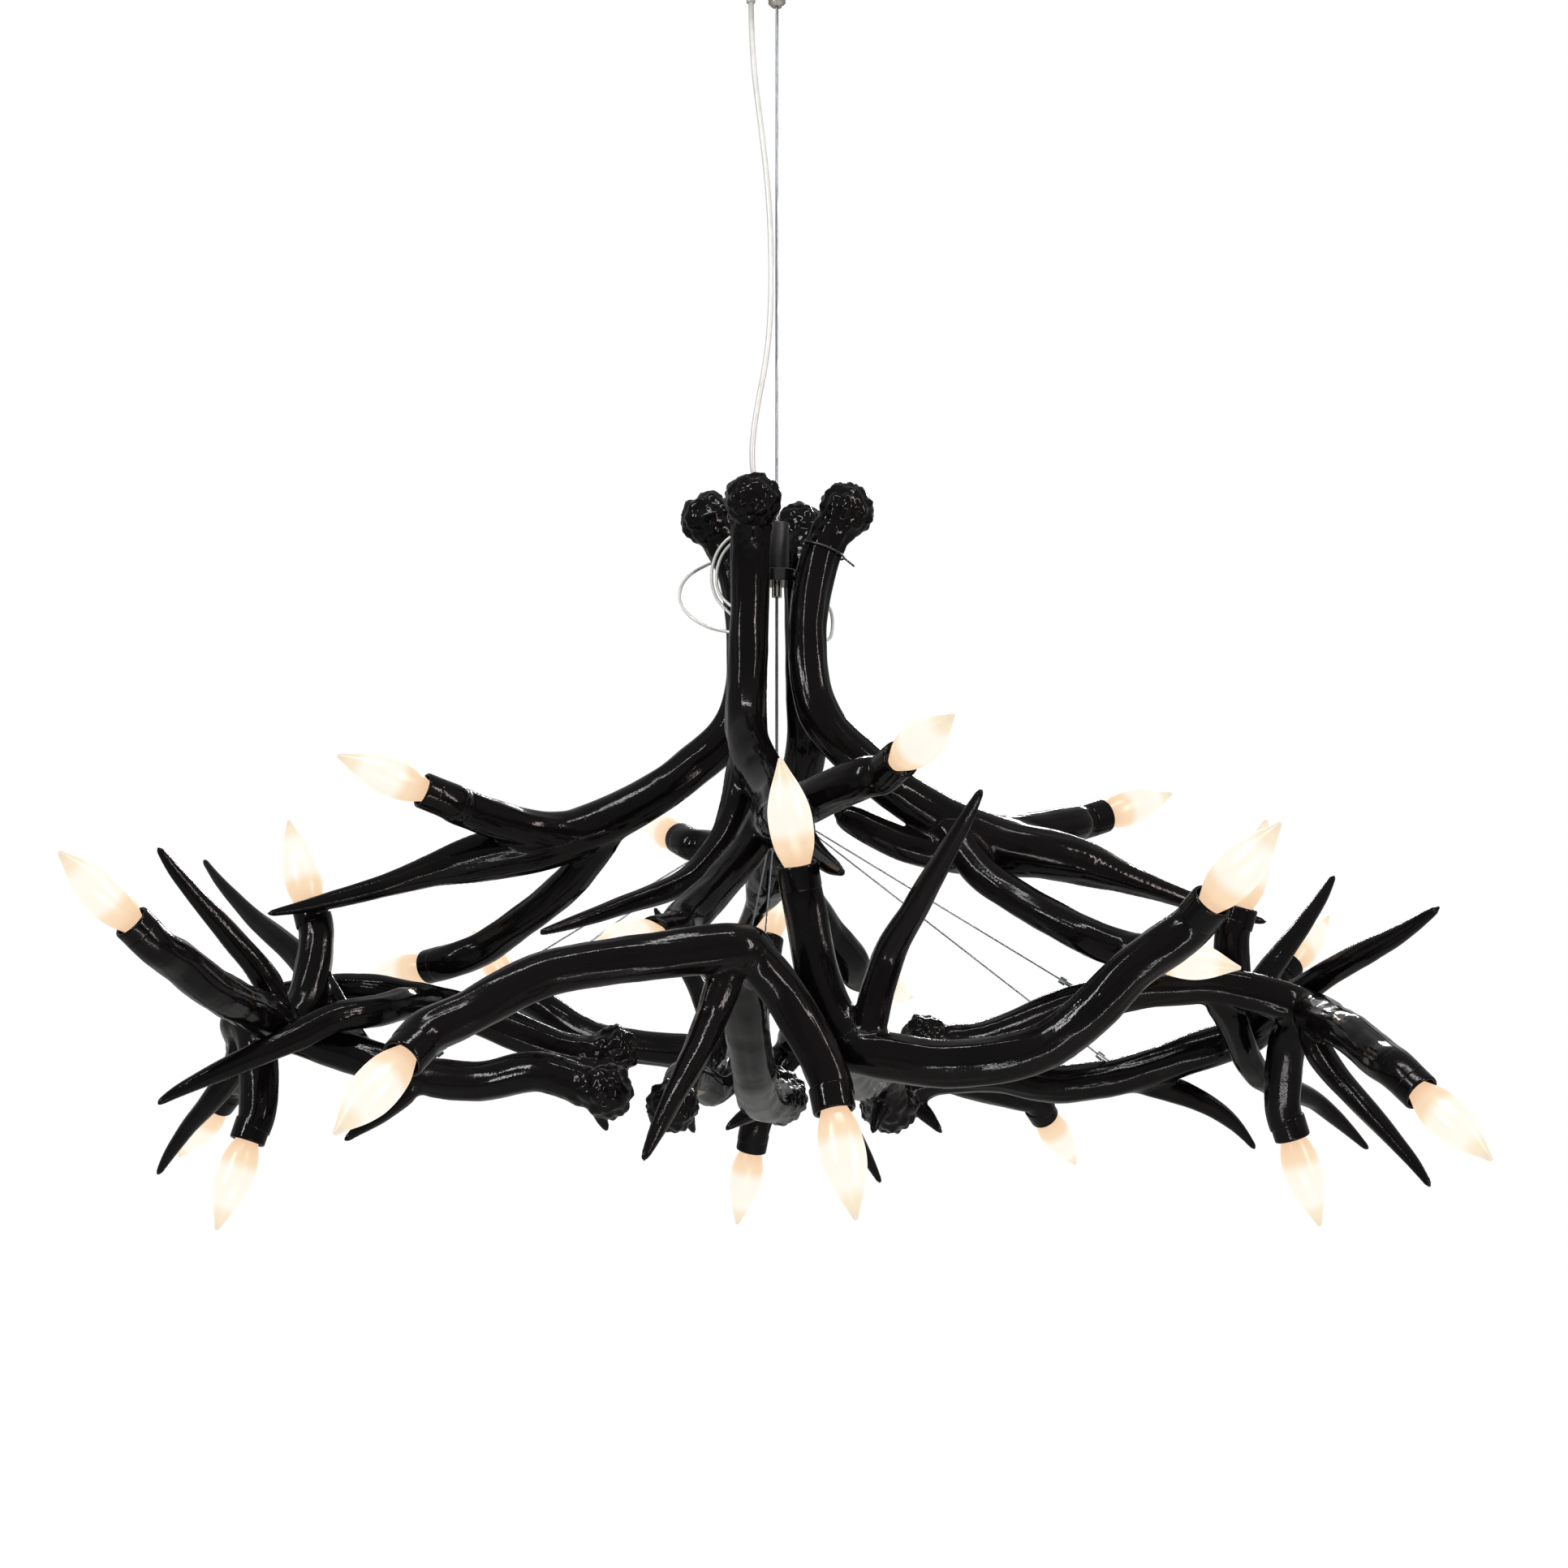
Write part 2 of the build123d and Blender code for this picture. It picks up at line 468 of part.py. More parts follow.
TERMINAL_TOP = -CROSSBAR_THICKNESS - SEAT_GAP
TERMINAL_FLOOR = TERMINAL_TOP - TERMINAL_HEIGHT
with BuildPart() as terminals:
    with BuildSketch(Plane.XY.offset(TERMINAL_FLOOR)):
        with Locations((-CORD_OFFSET + 2, 0)):
            RectangleRounded(TERMINAL_LENGTH, TERMINAL_WIDTH, 2)
    extrude(amount=TERMINAL_HEIGHT)
    with Locations(*[(-CORD_OFFSET + 2, y, TERMINAL_TOP) for y in (-4, 0, 4)]):
        Hole(1.2, TERMINAL_HEIGHT * 0.5)
save(terminals.part, "terminal_block")

# ---- suspension ---------------------------------------------------------------------------------
CABLE_TOP = -8.0
COLLAR_TOP = COLLAR_LEVEL + COLLAR_THICKNESS / 2
COLLAR_FLOOR = COLLAR_LEVEL - COLLAR_THICKNESS / 2
HUB_FLOOR = HUB_LEVEL - HUB_THICKNESS / 2
CABLE_FLOOR = HUB_FLOOR - FERRULE_HEIGHT - 3.0
CABLE_HOLE = CABLE_RADIUS + WIRE_GAP
with BuildPart() as cable:
    with BuildSketch(Plane.XY.offset(CABLE_FLOOR)):
        Circle(CABLE_RADIUS)
    extrude(amount=CABLE_TOP - CABLE_FLOOR)
save(cable.part, "suspension_cable")


def neck_line(name):
    """The level line from the axis to a crown neck: its direction, as a triple."""
    x, y, _ = STANCES[name].put(NECK_AT_COLLAR)
    return (x / hypot(x, y), y / hypot(x, y), 0)


CROWN_NAMES = [name for name in ANTLERS if name.startswith("crown")]
COLLAR_STUD_START = COLLAR_RADIUS - COLLAR_STUD_SEAT
with BuildPart() as collar:
    with BuildSketch(Plane.XY.offset(COLLAR_FLOOR)):
        Circle(COLLAR_RADIUS)
    extrude(amount=COLLAR_THICKNESS)
    chamfer(collar.edges(), 0.6)
    with Locations((0, 0, COLLAR_LEVEL)):
        Hole(CABLE_HOLE)
    for name in CROWN_NAMES:
        way = neck_line(name)
        start = along((0, 0, COLLAR_LEVEL), way, COLLAR_RADIUS)
        with Locations(facing(start, way)):
            Hole(COLLAR_STUD_RADIUS + WIRE_GAP, COLLAR_STUD_SEAT + SEAT_GAP)
save(collar.part, "crown_collar")

with BuildPart() as collar_studs:
    for name in CROWN_NAMES:
        way = neck_line(name)
        with BuildSketch(facing(along((0, 0, COLLAR_LEVEL), way, COLLAR_STUD_START), way)):
            Circle(COLLAR_STUD_RADIUS)
    extrude(amount=COLLAR_STUD_LENGTH)
save(collar_studs.part, "collar_studs")

with BuildPart() as ferrules:
    for top in (COLLAR_FLOOR - SEAT_GAP, HUB_FLOOR - SEAT_GAP):
        with BuildSketch(Plane.XY.offset(top)):
            Circle(FERRULE_RADIUS)
            Circle(CABLE_HOLE, mode=Mode.SUBTRACT)
        extrude(amount=-FERRULE_HEIGHT)
save(ferrules.part, "cable_ferrules")

SLEEVE_FLOOR = COLLAR_TOP + SEAT_GAP
SLEEVE_TOP = SLEEVE_FLOOR + SLEEVE_HEIGHT
POWER_END = (-6.5, 0, SLEEVE_TOP - CORD_SEAT)
LOOPS = [LEFT_LOOP] + FRONT_LOOPS
with BuildPart() as sleeve:
    with BuildSketch(Plane.XY.offset(SLEEVE_FLOOR)):
        Circle(SLEEVE_RADIUS)
    extrude(amount=SLEEVE_HEIGHT)
    fillet(sleeve.edges(), 1.0)
    with Locations((0, 0, SLEEVE_TOP)):
        Hole(CABLE_HOLE)
    with Locations(facing(added(POWER_END, (0, 0, CORD_SEAT)), (0, 0, 1))):
        Hole(POWER_CORD_RADIUS + WIRE_GAP, CORD_SEAT + WIRE_GAP)
    for route in LOOPS:
        way = added(route[1], [-c for c in route[0]])
        with Locations(facing(along(route[0], way, CORD_SEAT * 2), way)):
            Hole(LEAD_RADIUS + WIRE_GAP, CORD_SEAT * 2 + WIRE_GAP)
save(sleeve.part, "splice_sleeve")

# ---- hanger wires, from the hub to a screwed eye in each ring antler -----------------------------
HUB_MIDDLE = (0, 0, HUB_LEVEL)


class Hanger:
    """The straight line of one hanger wire, from the antler's middle to the hub."""

    def __init__(self, name):
        beam = ANTLERS[name][0]
        row = HANGER_ROWS[name]
        self.root = beam.points[row]
        x, y, _ = self.root
        rim = HUB_RADIUS - HANGER_SEAT * 0.5
        self.hub_end = (x / hypot(x, y) * rim, y / hypot(x, y) * rim, HUB_LEVEL)
        self.way = added(self.hub_end, [-c for c in self.root])
        up = Vector(*self.way).normalized()
        lie = Vector(*beam.points[row + 1]) - Vector(*beam.points[row - 1])
        slope = abs(up.dot(lie.normalized()))
        rise = (1 - slope ** 2) ** 0.5
        self.head_start = (beam.radii[row] + 4 * SEAT_GAP) / rise + EYE_HEAD_RADIUS * slope / rise

    def at(self, distance):
        """The point at a distance from the antler's middle."""
        return along(self.root, self.way, distance)

    def length(self):
        """The length of the wire, from its eye to its end in the hub."""
        whole = Vector(*self.way).length
        return whole - self.head_start - EYE_HEAD_LENGTH


HANGERS = {name: Hanger(name) for name in HANGER_ROWS}

with BuildPart() as hub:
    with BuildSketch(Plane.XY.offset(HUB_FLOOR)):
        Circle(HUB_RADIUS)
    extrude(amount=HUB_THICKNESS)
    chamfer(hub.edges(), 1.5)
    with Locations((0, 0, HUB_LEVEL)):
        Hole(CABLE_HOLE)
    for hanger in HANGERS.values():
        out = [-c for c in hanger.way]
        with Locations(facing(along(hanger.hub_end, out, HUB_RADIUS), out)):
            Hole(HANGER_WIRE_RADIUS + WIRE_GAP, HUB_RADIUS + WIRE_GAP)
save(hub.part, "hanger_hub")

with BuildPart() as eyes:
    for hanger in HANGERS.values():
        with BuildSketch(facing(hanger.at(hanger.head_start - EYE_SHANK_LENGTH), hanger.way)):
            Circle(EYE_SHANK_RADIUS)
        extrude(amount=EYE_SHANK_LENGTH)
        with BuildSketch(facing(hanger.at(hanger.head_start), hanger.way)):
            Circle(EYE_HEAD_RADIUS)
        extrude(amount=EYE_HEAD_LENGTH)
save(eyes.part, "hanger_anchors")

with BuildPart() as hanger_wires:
    for hanger in HANGERS.values():
        start = hanger.head_start + EYE_HEAD_LENGTH
        with BuildSketch(facing(hanger.at(start), hanger.way)):
            Circle(HANGER_WIRE_RADIUS)
        extrude(amount=hanger.length())
        print(f"hanger wire: {hanger.length():.0f} mm")
save(hanger_wires.part, "hanger_wires")

with BuildPart() as join_screws:
    for _, _, first_point, second_point in JOINTS:
        way = added(second_point, [-c for c in first_point])
        middle = along(first_point, way, Vector(*way).length / 2)
        with BuildSketch(facing(along(middle, way, -JOIN_SCREW_DEPTH), way)):
            Circle(JOIN_SCREW_RADIUS)
        extrude(amount=2 * JOIN_SCREW_DEPTH)
save(join_screws.part, "joining_screws")

TIE_MIDDLE = STANCES["crown_antler_3"].put((41, -23, 206))
TIE_WAY = STANCES["crown_antler_3"].aim((23, 2, 64))
TIE_RING_RADIUS = 17.6 + SEAT_GAP * 2 + TIE_WIRE_RADIUS + 0.6
with BuildPart() as tie:
    ring_plane = facing(TIE_MIDDLE, TIE_WAY)
    with Locations(ring_plane):
        Torus(TIE_RING_RADIUS, TIE_WIRE_RADIUS)
    edge = tuple(ring_plane.from_local_coords((TIE_RING_RADIUS, 0, 0)))
    with BuildSketch(facing(edge, STANCES["crown_antler_3"].aim((12, 4, -9)))):
        Circle(TIE_WIRE_RADIUS * 0.9)
    extrude(amount=TIE_TAIL_LENGTH)
save(tie.part, "neck_tie_wire")

# ---- cords --------------------------------------------------------------------------------------
POWER_START = (-CORD_OFFSET, 0, TERMINAL_FLOOR)
FULL_POWER_ROUTE = [POWER_START] + POWER_ROUTE + [POWER_END]


def cord(route, name, radius):
    """Sweep one cord along its route, in the part being built."""
    with BuildLine() as line:
        path = cord_path(route, name, radius)
    with BuildSketch(Plane(path ^ 0)) as profile:
        Circle(radius)
    sweep(profile.sketch, path=line.wire())
    print(f"{name}: {path.length:.0f} mm long")


with BuildPart() as power_cord:
    cord(FULL_POWER_ROUTE, "power cord", POWER_CORD_RADIUS)
save(power_cord.part, "power_cord")

with BuildPart() as left_loop:
    cord(LEFT_LOOP, "left lead loop", LEAD_RADIUS)
save(left_loop.part, "left_lead_loop")

with BuildPart() as front_loop_1:
    cord(FRONT_LOOPS[0], "front lead loop 1", LEAD_RADIUS)
save(front_loop_1.part, "front_lead_loop_1")

with BuildPart() as front_loop_2:
    cord(FRONT_LOOPS[1], "front lead loop 2", LEAD_RADIUS)
save(front_loop_2.part, "front_lead_loop_2")

with BuildPart() as right_loop:
    cord(RIGHT_LOOP, "right lead loop", LEAD_RADIUS)
save(right_loop.part, "right_lead_loop")

# ---- antlers ------------------------------------------------------------------------------------
# Holes for leads: (antler, the lead's route, whether the route's end or its start goes in).
LEAD_HOLES = [("crown_antler_2", LEFT_LOOP, -1), ("crown_antler_2", FRONT_LOOPS[0], -1),
              ("crown_antler_2", FRONT_LOOPS[1], -1), ("crown_antler_3", RIGHT_LOOP, -1),
              ("crown_antler_3", RIGHT_LOOP, 0)]
BORE_DEPTH = MOUTH_DEPTH - 1.0 + LAMP_BASE_LENGTH + SOCKET_FLOOR + SEAT_GAP


def screw_hole(point, way, radius, depth):
    """A hole from a point along a way, on both sides of the point's plane by the depth."""
    with Locations(facing(along(point, way, depth), way)):
        Hole(radius, depth)


for name, limbs in ANTLERS.items():
    with BuildPart() as antler:
        for limb in limbs:
            for plane, radius in limb.sections():
                with BuildSketch(plane):
                    Circle(radius)
            loft(ruled=True)
        for limb in limbs:
            if limb.mouth:
                with Locations(facing(limb.mouth, limb.aim)):
                    CounterBoreHole(SOCKET_RADIUS + SEAT_GAP, MOUTH_RADIUS, MOUTH_DEPTH, BORE_DEPTH)
        if name in CROWN_NAMES:
            way = neck_line(name)
            start = along((0, 0, COLLAR_LEVEL), way, COLLAR_STUD_START)
            screw_hole(start, way, COLLAR_STUD_RADIUS + WIRE_GAP, COLLAR_STUD_LENGTH + WIRE_GAP)
        if name in HANGERS:
            hanger = HANGERS[name]
            base = hanger.at(hanger.head_start - EYE_SHANK_LENGTH - WIRE_GAP)
            screw_hole(base, hanger.way, EYE_SHANK_RADIUS + WIRE_GAP, EYE_SHANK_LENGTH)
        for first, second, first_point, second_point in JOINTS:
            if name in (first, second):
                way = added(second_point, [-c for c in first_point])
                middle = along(first_point, way, Vector(*way).length / 2)
                side = 1 if name == second else -1
                base = along(middle, way, side * (JOIN_SCREW_DEPTH + WIRE_GAP))
                back = [-side * c for c in way]
                screw_hole(base, back, JOIN_SCREW_RADIUS + WIRE_GAP, JOIN_SCREW_DEPTH)
        for holed, route, end in LEAD_HOLES:
            if name == holed:
                inside, outside = (route[-1], route[-2]) if end else (route[0], route[1])
                way = added(outside, [-c for c in inside])
                screw_hole(along(inside, way, -WIRE_GAP), way, LEAD_RADIUS + WIRE_GAP, 10)
    save(antler.part, name)

# ---- lamps and their sockets --------------------------------------------------------------------
LAMP_LIMBS = [(name, limb) for name, limbs in ANTLERS.items() for limb in limbs if limb.mouth]
SOCKET_TOP = MOUTH_DEPTH - 1.0
BASE_HOLE = LAMP_BASE_RADIUS + SEAT_GAP


def lamp_plane(limb, depth=0.0):
    """A plane that holds the lamp's axis as its local Y, with its origin below the mouth."""
    up = Vector(*limb.aim).normalized()
    across = Vector(0, 0, 1).cross(up)
    across = across.normalized() if across.length > 0.1 else Vector(1, 0, 0)
    return Plane(origin=along(limb.mouth, limb.aim, -depth), x_dir=across, z_dir=across.cross(up))


with BuildPart() as sockets:
    for _, limb in LAMP_LIMBS:
        with BuildSketch(facing(along(limb.mouth, limb.aim, -SOCKET_TOP), limb.aim)):
            Circle(SOCKET_RADIUS)
            Circle(BASE_HOLE, mode=Mode.SUBTRACT)
        extrude(amount=-LAMP_BASE_LENGTH)
        floor = along(limb.mouth, limb.aim, -SOCKET_TOP - LAMP_BASE_LENGTH)
        with BuildSketch(facing(floor, limb.aim)):
            Circle(SOCKET_RADIUS)
        extrude(amount=-SOCKET_FLOOR)
save(sockets.part, "lamp_sockets")

LAMP_FOOT = -SOCKET_TOP - LAMP_BASE_LENGTH + SEAT_GAP
counts = {"crown": 0, "rising": 0, "falling": 0}
for name, limb in LAMP_LIMBS:
    group = name.split("_")[0]
    counts[group] += 1
    with BuildPart() as lamp:
        with BuildSketch(lamp_plane(limb)):
            with BuildLine():
                Line((0, LAMP_FOOT), (LAMP_BASE_RADIUS, LAMP_FOOT))
                Line((LAMP_BASE_RADIUS, LAMP_FOOT), (LAMP_BASE_RADIUS, LAMP_SHOULDER[1]))
                Line((LAMP_BASE_RADIUS, LAMP_SHOULDER[1]), LAMP_SHOULDER)
                Spline(LAMP_SHOULDER, *LAMP_GLASS, (LAMP_TIP_RADIUS, LAMP_LENGTH))
                Line((LAMP_TIP_RADIUS, LAMP_LENGTH), (0, LAMP_LENGTH))
                Line((0, LAMP_LENGTH), (0, LAMP_FOOT))
            make_face()
        revolve(axis=Axis(limb.mouth, limb.aim))
    save(lamp.part, f"{group}_lamp_{counts[group]}")
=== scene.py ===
"""Looks of an antler chandelier: black cast antlers, lit lamps, clear leads, steel cable."""
import json
import logging
import math
from dataclasses import dataclass, field
from enum import Enum

import bmesh
import bpy
import numpy as np
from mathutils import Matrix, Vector


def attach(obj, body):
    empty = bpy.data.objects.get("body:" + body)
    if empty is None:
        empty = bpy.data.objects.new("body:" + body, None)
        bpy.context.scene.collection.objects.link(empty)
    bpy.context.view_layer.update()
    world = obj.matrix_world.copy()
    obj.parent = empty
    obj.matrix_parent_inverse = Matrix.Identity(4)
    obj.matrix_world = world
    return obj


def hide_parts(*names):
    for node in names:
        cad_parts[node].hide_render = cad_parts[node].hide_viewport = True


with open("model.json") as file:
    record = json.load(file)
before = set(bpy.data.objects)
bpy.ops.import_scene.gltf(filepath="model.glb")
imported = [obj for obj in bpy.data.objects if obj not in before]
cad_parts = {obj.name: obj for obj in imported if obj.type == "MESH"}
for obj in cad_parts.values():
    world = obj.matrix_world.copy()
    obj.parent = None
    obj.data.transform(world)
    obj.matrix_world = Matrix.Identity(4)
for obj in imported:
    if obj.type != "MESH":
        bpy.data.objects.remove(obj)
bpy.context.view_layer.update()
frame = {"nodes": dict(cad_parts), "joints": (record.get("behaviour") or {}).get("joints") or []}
LOG = logging.getLogger("chandelier")

MM = 0.001
TINY = 1e-6
FAR = 1e9
END_BAND = 1e-4                     # metres
OFF_AXIS = (0.31, 0.83, 0.47)       # a direction that no limb, lamp or lip follows
SMOOTH_ROUNDS = 3                   # how often each run of a smooth line is halved
WHITE = (1, 1, 1, 1)
FIXTURE = "fixture"                 # the CAD body that carries all but the lamps
Row = tuple[float, float, float, float]
Point = tuple[float, float, float]
Tree = bpy.types.NodeTree
Socket = bpy.types.NodeSocket
Shape = bmesh.types.BMesh
Array = np.ndarray

# ---- levels and sizes, in millimetres -----------------------------------------------------------
CROWN_LEVEL = -770.0
RING_LEVEL = -970.0
FLOOR_LEVEL = -2100.0
LEFT, FRONT, RIGHT, BACK = 180.0, 270.0, 0.0, 90.0

# ---- antler outlines: rows of (outwards, across, up, radius) from the antler's own datum ---------
CROWN_MAIN = [
    (70, -21, 255, 10), (64, -21, 246, 24), (54, -22, 232, 19), (40, -23, 205, 17.5),
    (31, -24, 168, 17), (28, -25, 125, 17), (31, -26, 83, 17.5), (45, -27, 47, 18.5),
    (73, -22, 20, 19), (108, -10, -8, 19.5), (153, 1, -34, 21), (205, 4, -54, 23),
    (257, 9, -65, 22), (300, 17, -78, 15), (343, 27, -93, 10), (400, 41, -110, 6.5),
    (439, 49, -119, 2.5)]
CROWN_UPPER = [
    (115, -8, -12, 16.5), (153, 2, -34, 17.5), (195, 14, -44, 18), (235, 37, -38, 17),
    (272, 70, -28, 16)]
CROWN_LOWER = [
    (145, -2, -32, 16.5), (175, -22, -75, 15.5), (200, -38, -98, 15), (228, -52, -117, 15),
    (265, -72, -140, 15.5)]
FRONT_SPUR = [
    (62, -25, 30, 16), (76, -30, -10, 15), (92, -42, -55, 13.5), (118, -75, -96, 11),
    (150, -125, -119, 8), (180, -165, -136, 5.5), (200, -191, -146, 2.5)]
RIGHT_KEEL = [
    (257, 8, -66, 17), (215, 6, -66, 17), (160, 0, -64, 16), (110, -8, -54, 15), (72, -11, -36, 13),
    (58, -12, -28, 9)]
RING_BURR = [(-13, 8, -4, 10), (-6, 5, -3, 24), (12, 0, 0, 18)]
RISING_BEAM = [
    (140, 88, -58, 16.5), (203, 80, -55, 17), (253, 66, -64, 17), (312, 56, -56, 17),
    (363, 50, -40, 17.5), (398, 48, -28, 18)]
FALLING_BEAM = [
    (150, 84, 8, 16.5), (200, 74, -12, 17), (243, 66, -27, 17), (321, 56, -40, 17),
    (375, 52, -34, 17.5)]
STEEP_BEAM = [(150, 22, 80, 17), (250, 34, 58, 17), (340, 45, 20, 17.5), (385, 50, -4, 18)]
RING_FORK = (425, 50, -18, 18)
RING_ARM = [(440, 115, -5, 17.5), (456, 190, 8, 17), (476, 245, 30, 16.5)]
RING_POST = [(425, 50, -18, 16.5), (408, 28, 10, 16.5)]
RING_TINE = [
    (427, 60, -12, 13), (434, 73, 20, 12.5), (458, 89, 52, 10.5), (483, 106, 82, 8),
    (505, 121, 110, 5.5), (518, 131, 130, 2.5)]
RIGHT_HIGH_TINE = [
    (400, 50, -27, 15), (440, 10, 2, 14), (480, -50, 32, 11.5), (520, -105, 56, 8.5),
    (540, -138, 71, 5), (549, -150, 78, 2.5)]
LEFT_HIGH_TINE = [
    (355, 50, -41, 14), (372, 24, -22, 13), (400, -5, 20, 12.5), (430, -35, 52, 11),
    (475, -80, 86, 8.5), (515, -122, 122, 5), (537, -150, 146, 2.5)]
LEFT_HANGING_TINE = [
    (255, 64, -30, 14), (262, 35, -28, 14), (275, -10, -27, 14), (289, -40, -20, 13.5),
    (318, -66, -14, 13), (347, -82, 2, 12), (382, -101, 20, 10.5), (416, -123, 38, 8),
    (438, -138, 51, 5), (450, -146, 60, 2.5)]
RIGHT_HANGING_TINE = [
    (345, 54, -36, 14), (360, 33, -12, 13.5), (371, -2, 17, 12.5), (385, -40, 37, 12),
    (408, -78, 47, 11), (435, -118, 58, 9), (463, -146, 82, 6), (483, -161, 102, 2.5)]
RIGHT_LOW_TINE = [
    (305, 58, -56, 12.5), (350, 66, -67, 11.5), (388, 76, -82, 9.5), (416, 90, -101, 6),
    (434, 100, -121, 2.5)]
LEFT_LOW_TINE = [
    (302, 57, -54, 12), (318, 64, -74, 10), (336, 76, -92, 7.5), (352, 88, -104, 5),
    (362, 94, -113, 2.5)]
BROW_TINE = [(118, 90, -74, 9), (132, 84, -88, 7.5), (142, 80, -99, 4.5), (148, 77, -107, 2)]
LEFT_BROW_TINE = [(158, 89, -62, 9), (152, 85, -84, 7.5), (147, 80, -97, 4.5), (143, 77, -105, 2)]
STEEP_BROW_TINE = [(86, 6, 80, 9), (92, 26, 90, 7.5), (97, 40, 98, 4.5), (100, 48, 104, 2)]
RING_BURR_SPOT = (100, 92, -80)
FALLING_BURR_SPOT = (100, 92, 13)
STEEP_BURR_SPOT = (75, 0, 80)

# ---- tube ends, as (mouth, the way it faces) ----------------------------------------------------
CROWN_UPPER_END = ((302, 98, -17), (65, 36, 24))
CROWN_LOWER_END = ((320, -94, -157), (66, -42, -14))
RING_ARM_END = ((503, 288, 57), (47, 40, 50))
RING_POST_END = ((411, 9, 92), (22, -13, 76))
TUBE_END_RADIUS = 15.5
TUBE_LEAD = 30.0
TUBE_TAPER = 0.3
MOUTH_DEPTH = 11.0
BORE_RADIUS = 10.2
BORE_DEPTH = 37.0

# ---- cord routes, in millimetres, point by point as the part has them ----------------------------
POWER_ROUTE = [
    (-24, 0, -12.8), (-24, 0, -60), (-21, -2, -115), (-14, -4, -170), (-8, -6, -225),
    (-5, -7, -280), (-5, -8, -335), (-9, -8, -385), (-18, -8, -430), (-23, -7, -470),
    (-20, -4, -500), (-6.5, 0, -516), (-6.5, 0, -538.2)]
LEFT_LOOP = [
    (-4.6, 6.6, -545), (-17, 24.5, -545), (-30, 40, -549), (-48, 47, -556), (-66, 41, -565),
    (-80, 28, -576), (-87, 13, -590), (-87, -1, -606), (-79, -10, -620), (-65, -14, -630),
    (-51, -16, -635), (-36, -22, -638)]
FRONT_LOOP_1 = [
    (-7.2, -3.4, -548), (-22, -10.3, -548), (-38, -14, -553), (-49, -16, -566), (-54, -17, -582),
    (-53, -18, -598), (-46, -20.5, -610), (-35.5, -25, -618)]
FRONT_LOOP_2 = [
    (-7.9, -1.4, -543), (-24, -4.2, -543), (-41, -8, -547), (-53, -11, -561), (-58.5, -12.5, -579),
    (-57.5, -13, -597), (-50, -15, -612), (-36, -20, -625)]
RIGHT_LOOP = [
    (38, -16, -607), (46, -4, -609), (50, 9, -617), (50, 12, -630), (47, 2, -641), (38, -14, -644)]

# ---- lamp outline: (radius, distance out of the mouth) -------------------------------------------
LAMP_LENGTH = 80.0
LAMP_GLASS = [
    (7.2, -8.0), (11.4, 2.0), (15.0, 13.0), (16.5, 28.0), (15.6, 42.0), (11.5, 56.0), (5.8, 69.0),
    (1.5, 79.6)]
LAMP_FOOT = -30.7
LAMP_BASE_RADIUS = 5.9


def linear(code: str) -> tuple[float, float, float, float]:
    """Turn an sRGB hex colour to the linear one that nodes take.

    Args:
        code: six hex digits, with or without a leading #.

    Returns:
        Linear red, green, blue and an alpha of 1.
    """
    code = code.lstrip("#")
    parts = [int(code[i:i + 2], 16) / 255 for i in (0, 2, 4)]
    rgb = [c / 12.92 if c <= 0.04045 else ((c + 0.055) / 1.055) ** 2.4 for c in parts]
    return (rgb[0], rgb[1], rgb[2], 1.0)


def add_node(tree: Tree, kind: str, inputs: dict | None = None,
             **settings) -> bpy.types.Node:
    """Add a node with its settings and links.

    Args:
        tree: the tree that gets the node.
        kind: the node's type name.
        inputs: socket name or number to a value, or to an output socket that is linked to it.
        **settings: the node's own properties.

    Returns:
        The new node.
    """
    node = tree.nodes.new(kind)
    for key, value in settings.items():
        setattr(node, key, value)
    for key, value in (inputs or {}).items():
        socket = node.inputs[key]
        if isinstance(value, Socket):
            tree.links.new(value, socket)
        else:
            socket.default_value = value
    return node


def output(tree: Tree, kind: str, inputs: dict | None = None,
           **settings) -> Socket:
    """The first output of a node that is added to the tree, as add_node does it."""
    return add_node(tree, kind, inputs, **settings).outputs[0]


def maths(tree: Tree, operation: str, first: object,
          second: object) -> Socket:
    """The result of one sum in a tree, from sockets or numbers."""
    return output(tree, "ShaderNodeMath", {0: first, 1: second}, operation=operation)


def noise(tree: Tree, spot: Socket, scale: float, detail: float,
          roughness: float = 0.5) -> Socket:
    """Noise from 0 to 1, with its scale in cells to the metre."""
    return output(tree, "ShaderNodeTexNoise",
                  {"Vector": spot, "Scale": scale, "Detail": detail, "Roughness": roughness})


def blend(tree: Tree, share: Socket, first: str,
          second: str) -> Socket:
    """A colour between two hex colours."""
    return add_node(tree, "ShaderNodeMix",
                    {"Factor": share, 6: linear(first), 7: linear(second)},
                    data_type="RGBA").outputs[2]


def bump(tree: Tree, height: Socket, strength: float, depth: float,
         under: Socket | None = None) -> Socket:
    """A normal bent by a relief, on top of another normal if one is given.

    Args:
        tree: the material's tree.
        height: the relief, from 0 to 1.
        strength: how much of it shows.
        depth: its height in millimetres.
        under: the normal that it bends.

    Returns:
        The bent normal.
    """
    inputs = {"Height": height, "Strength": strength, "Distance": depth * MM}
    if under is not None:
        inputs["Normal"] = under
    return output(tree, "ShaderNodeBump", inputs)


class Coordinates(Enum):
    """Where a pattern comes from: the object's own axes, or a point attribute of the mesh."""

    OBJECT = "Object"
    AROUND = "around"       # the grain's place: round the limb and, drawn out, along it
    HEIGHT = "height"       # from 0 at a lamp tube's mouth to 1 at the lamp's tip

    def source(self, tree: Tree) -> Socket:
        """The socket that gives the coordinates in a material."""
        if self is Coordinates.OBJECT:
            return add_node(tree, "ShaderNodeTexCoord").outputs[self.value]
        output = "Fac" if self is Coordinates.HEIGHT else "Vector"
        return add_node(tree, "ShaderNodeAttribute", attribute_name=self.value).outputs[output]


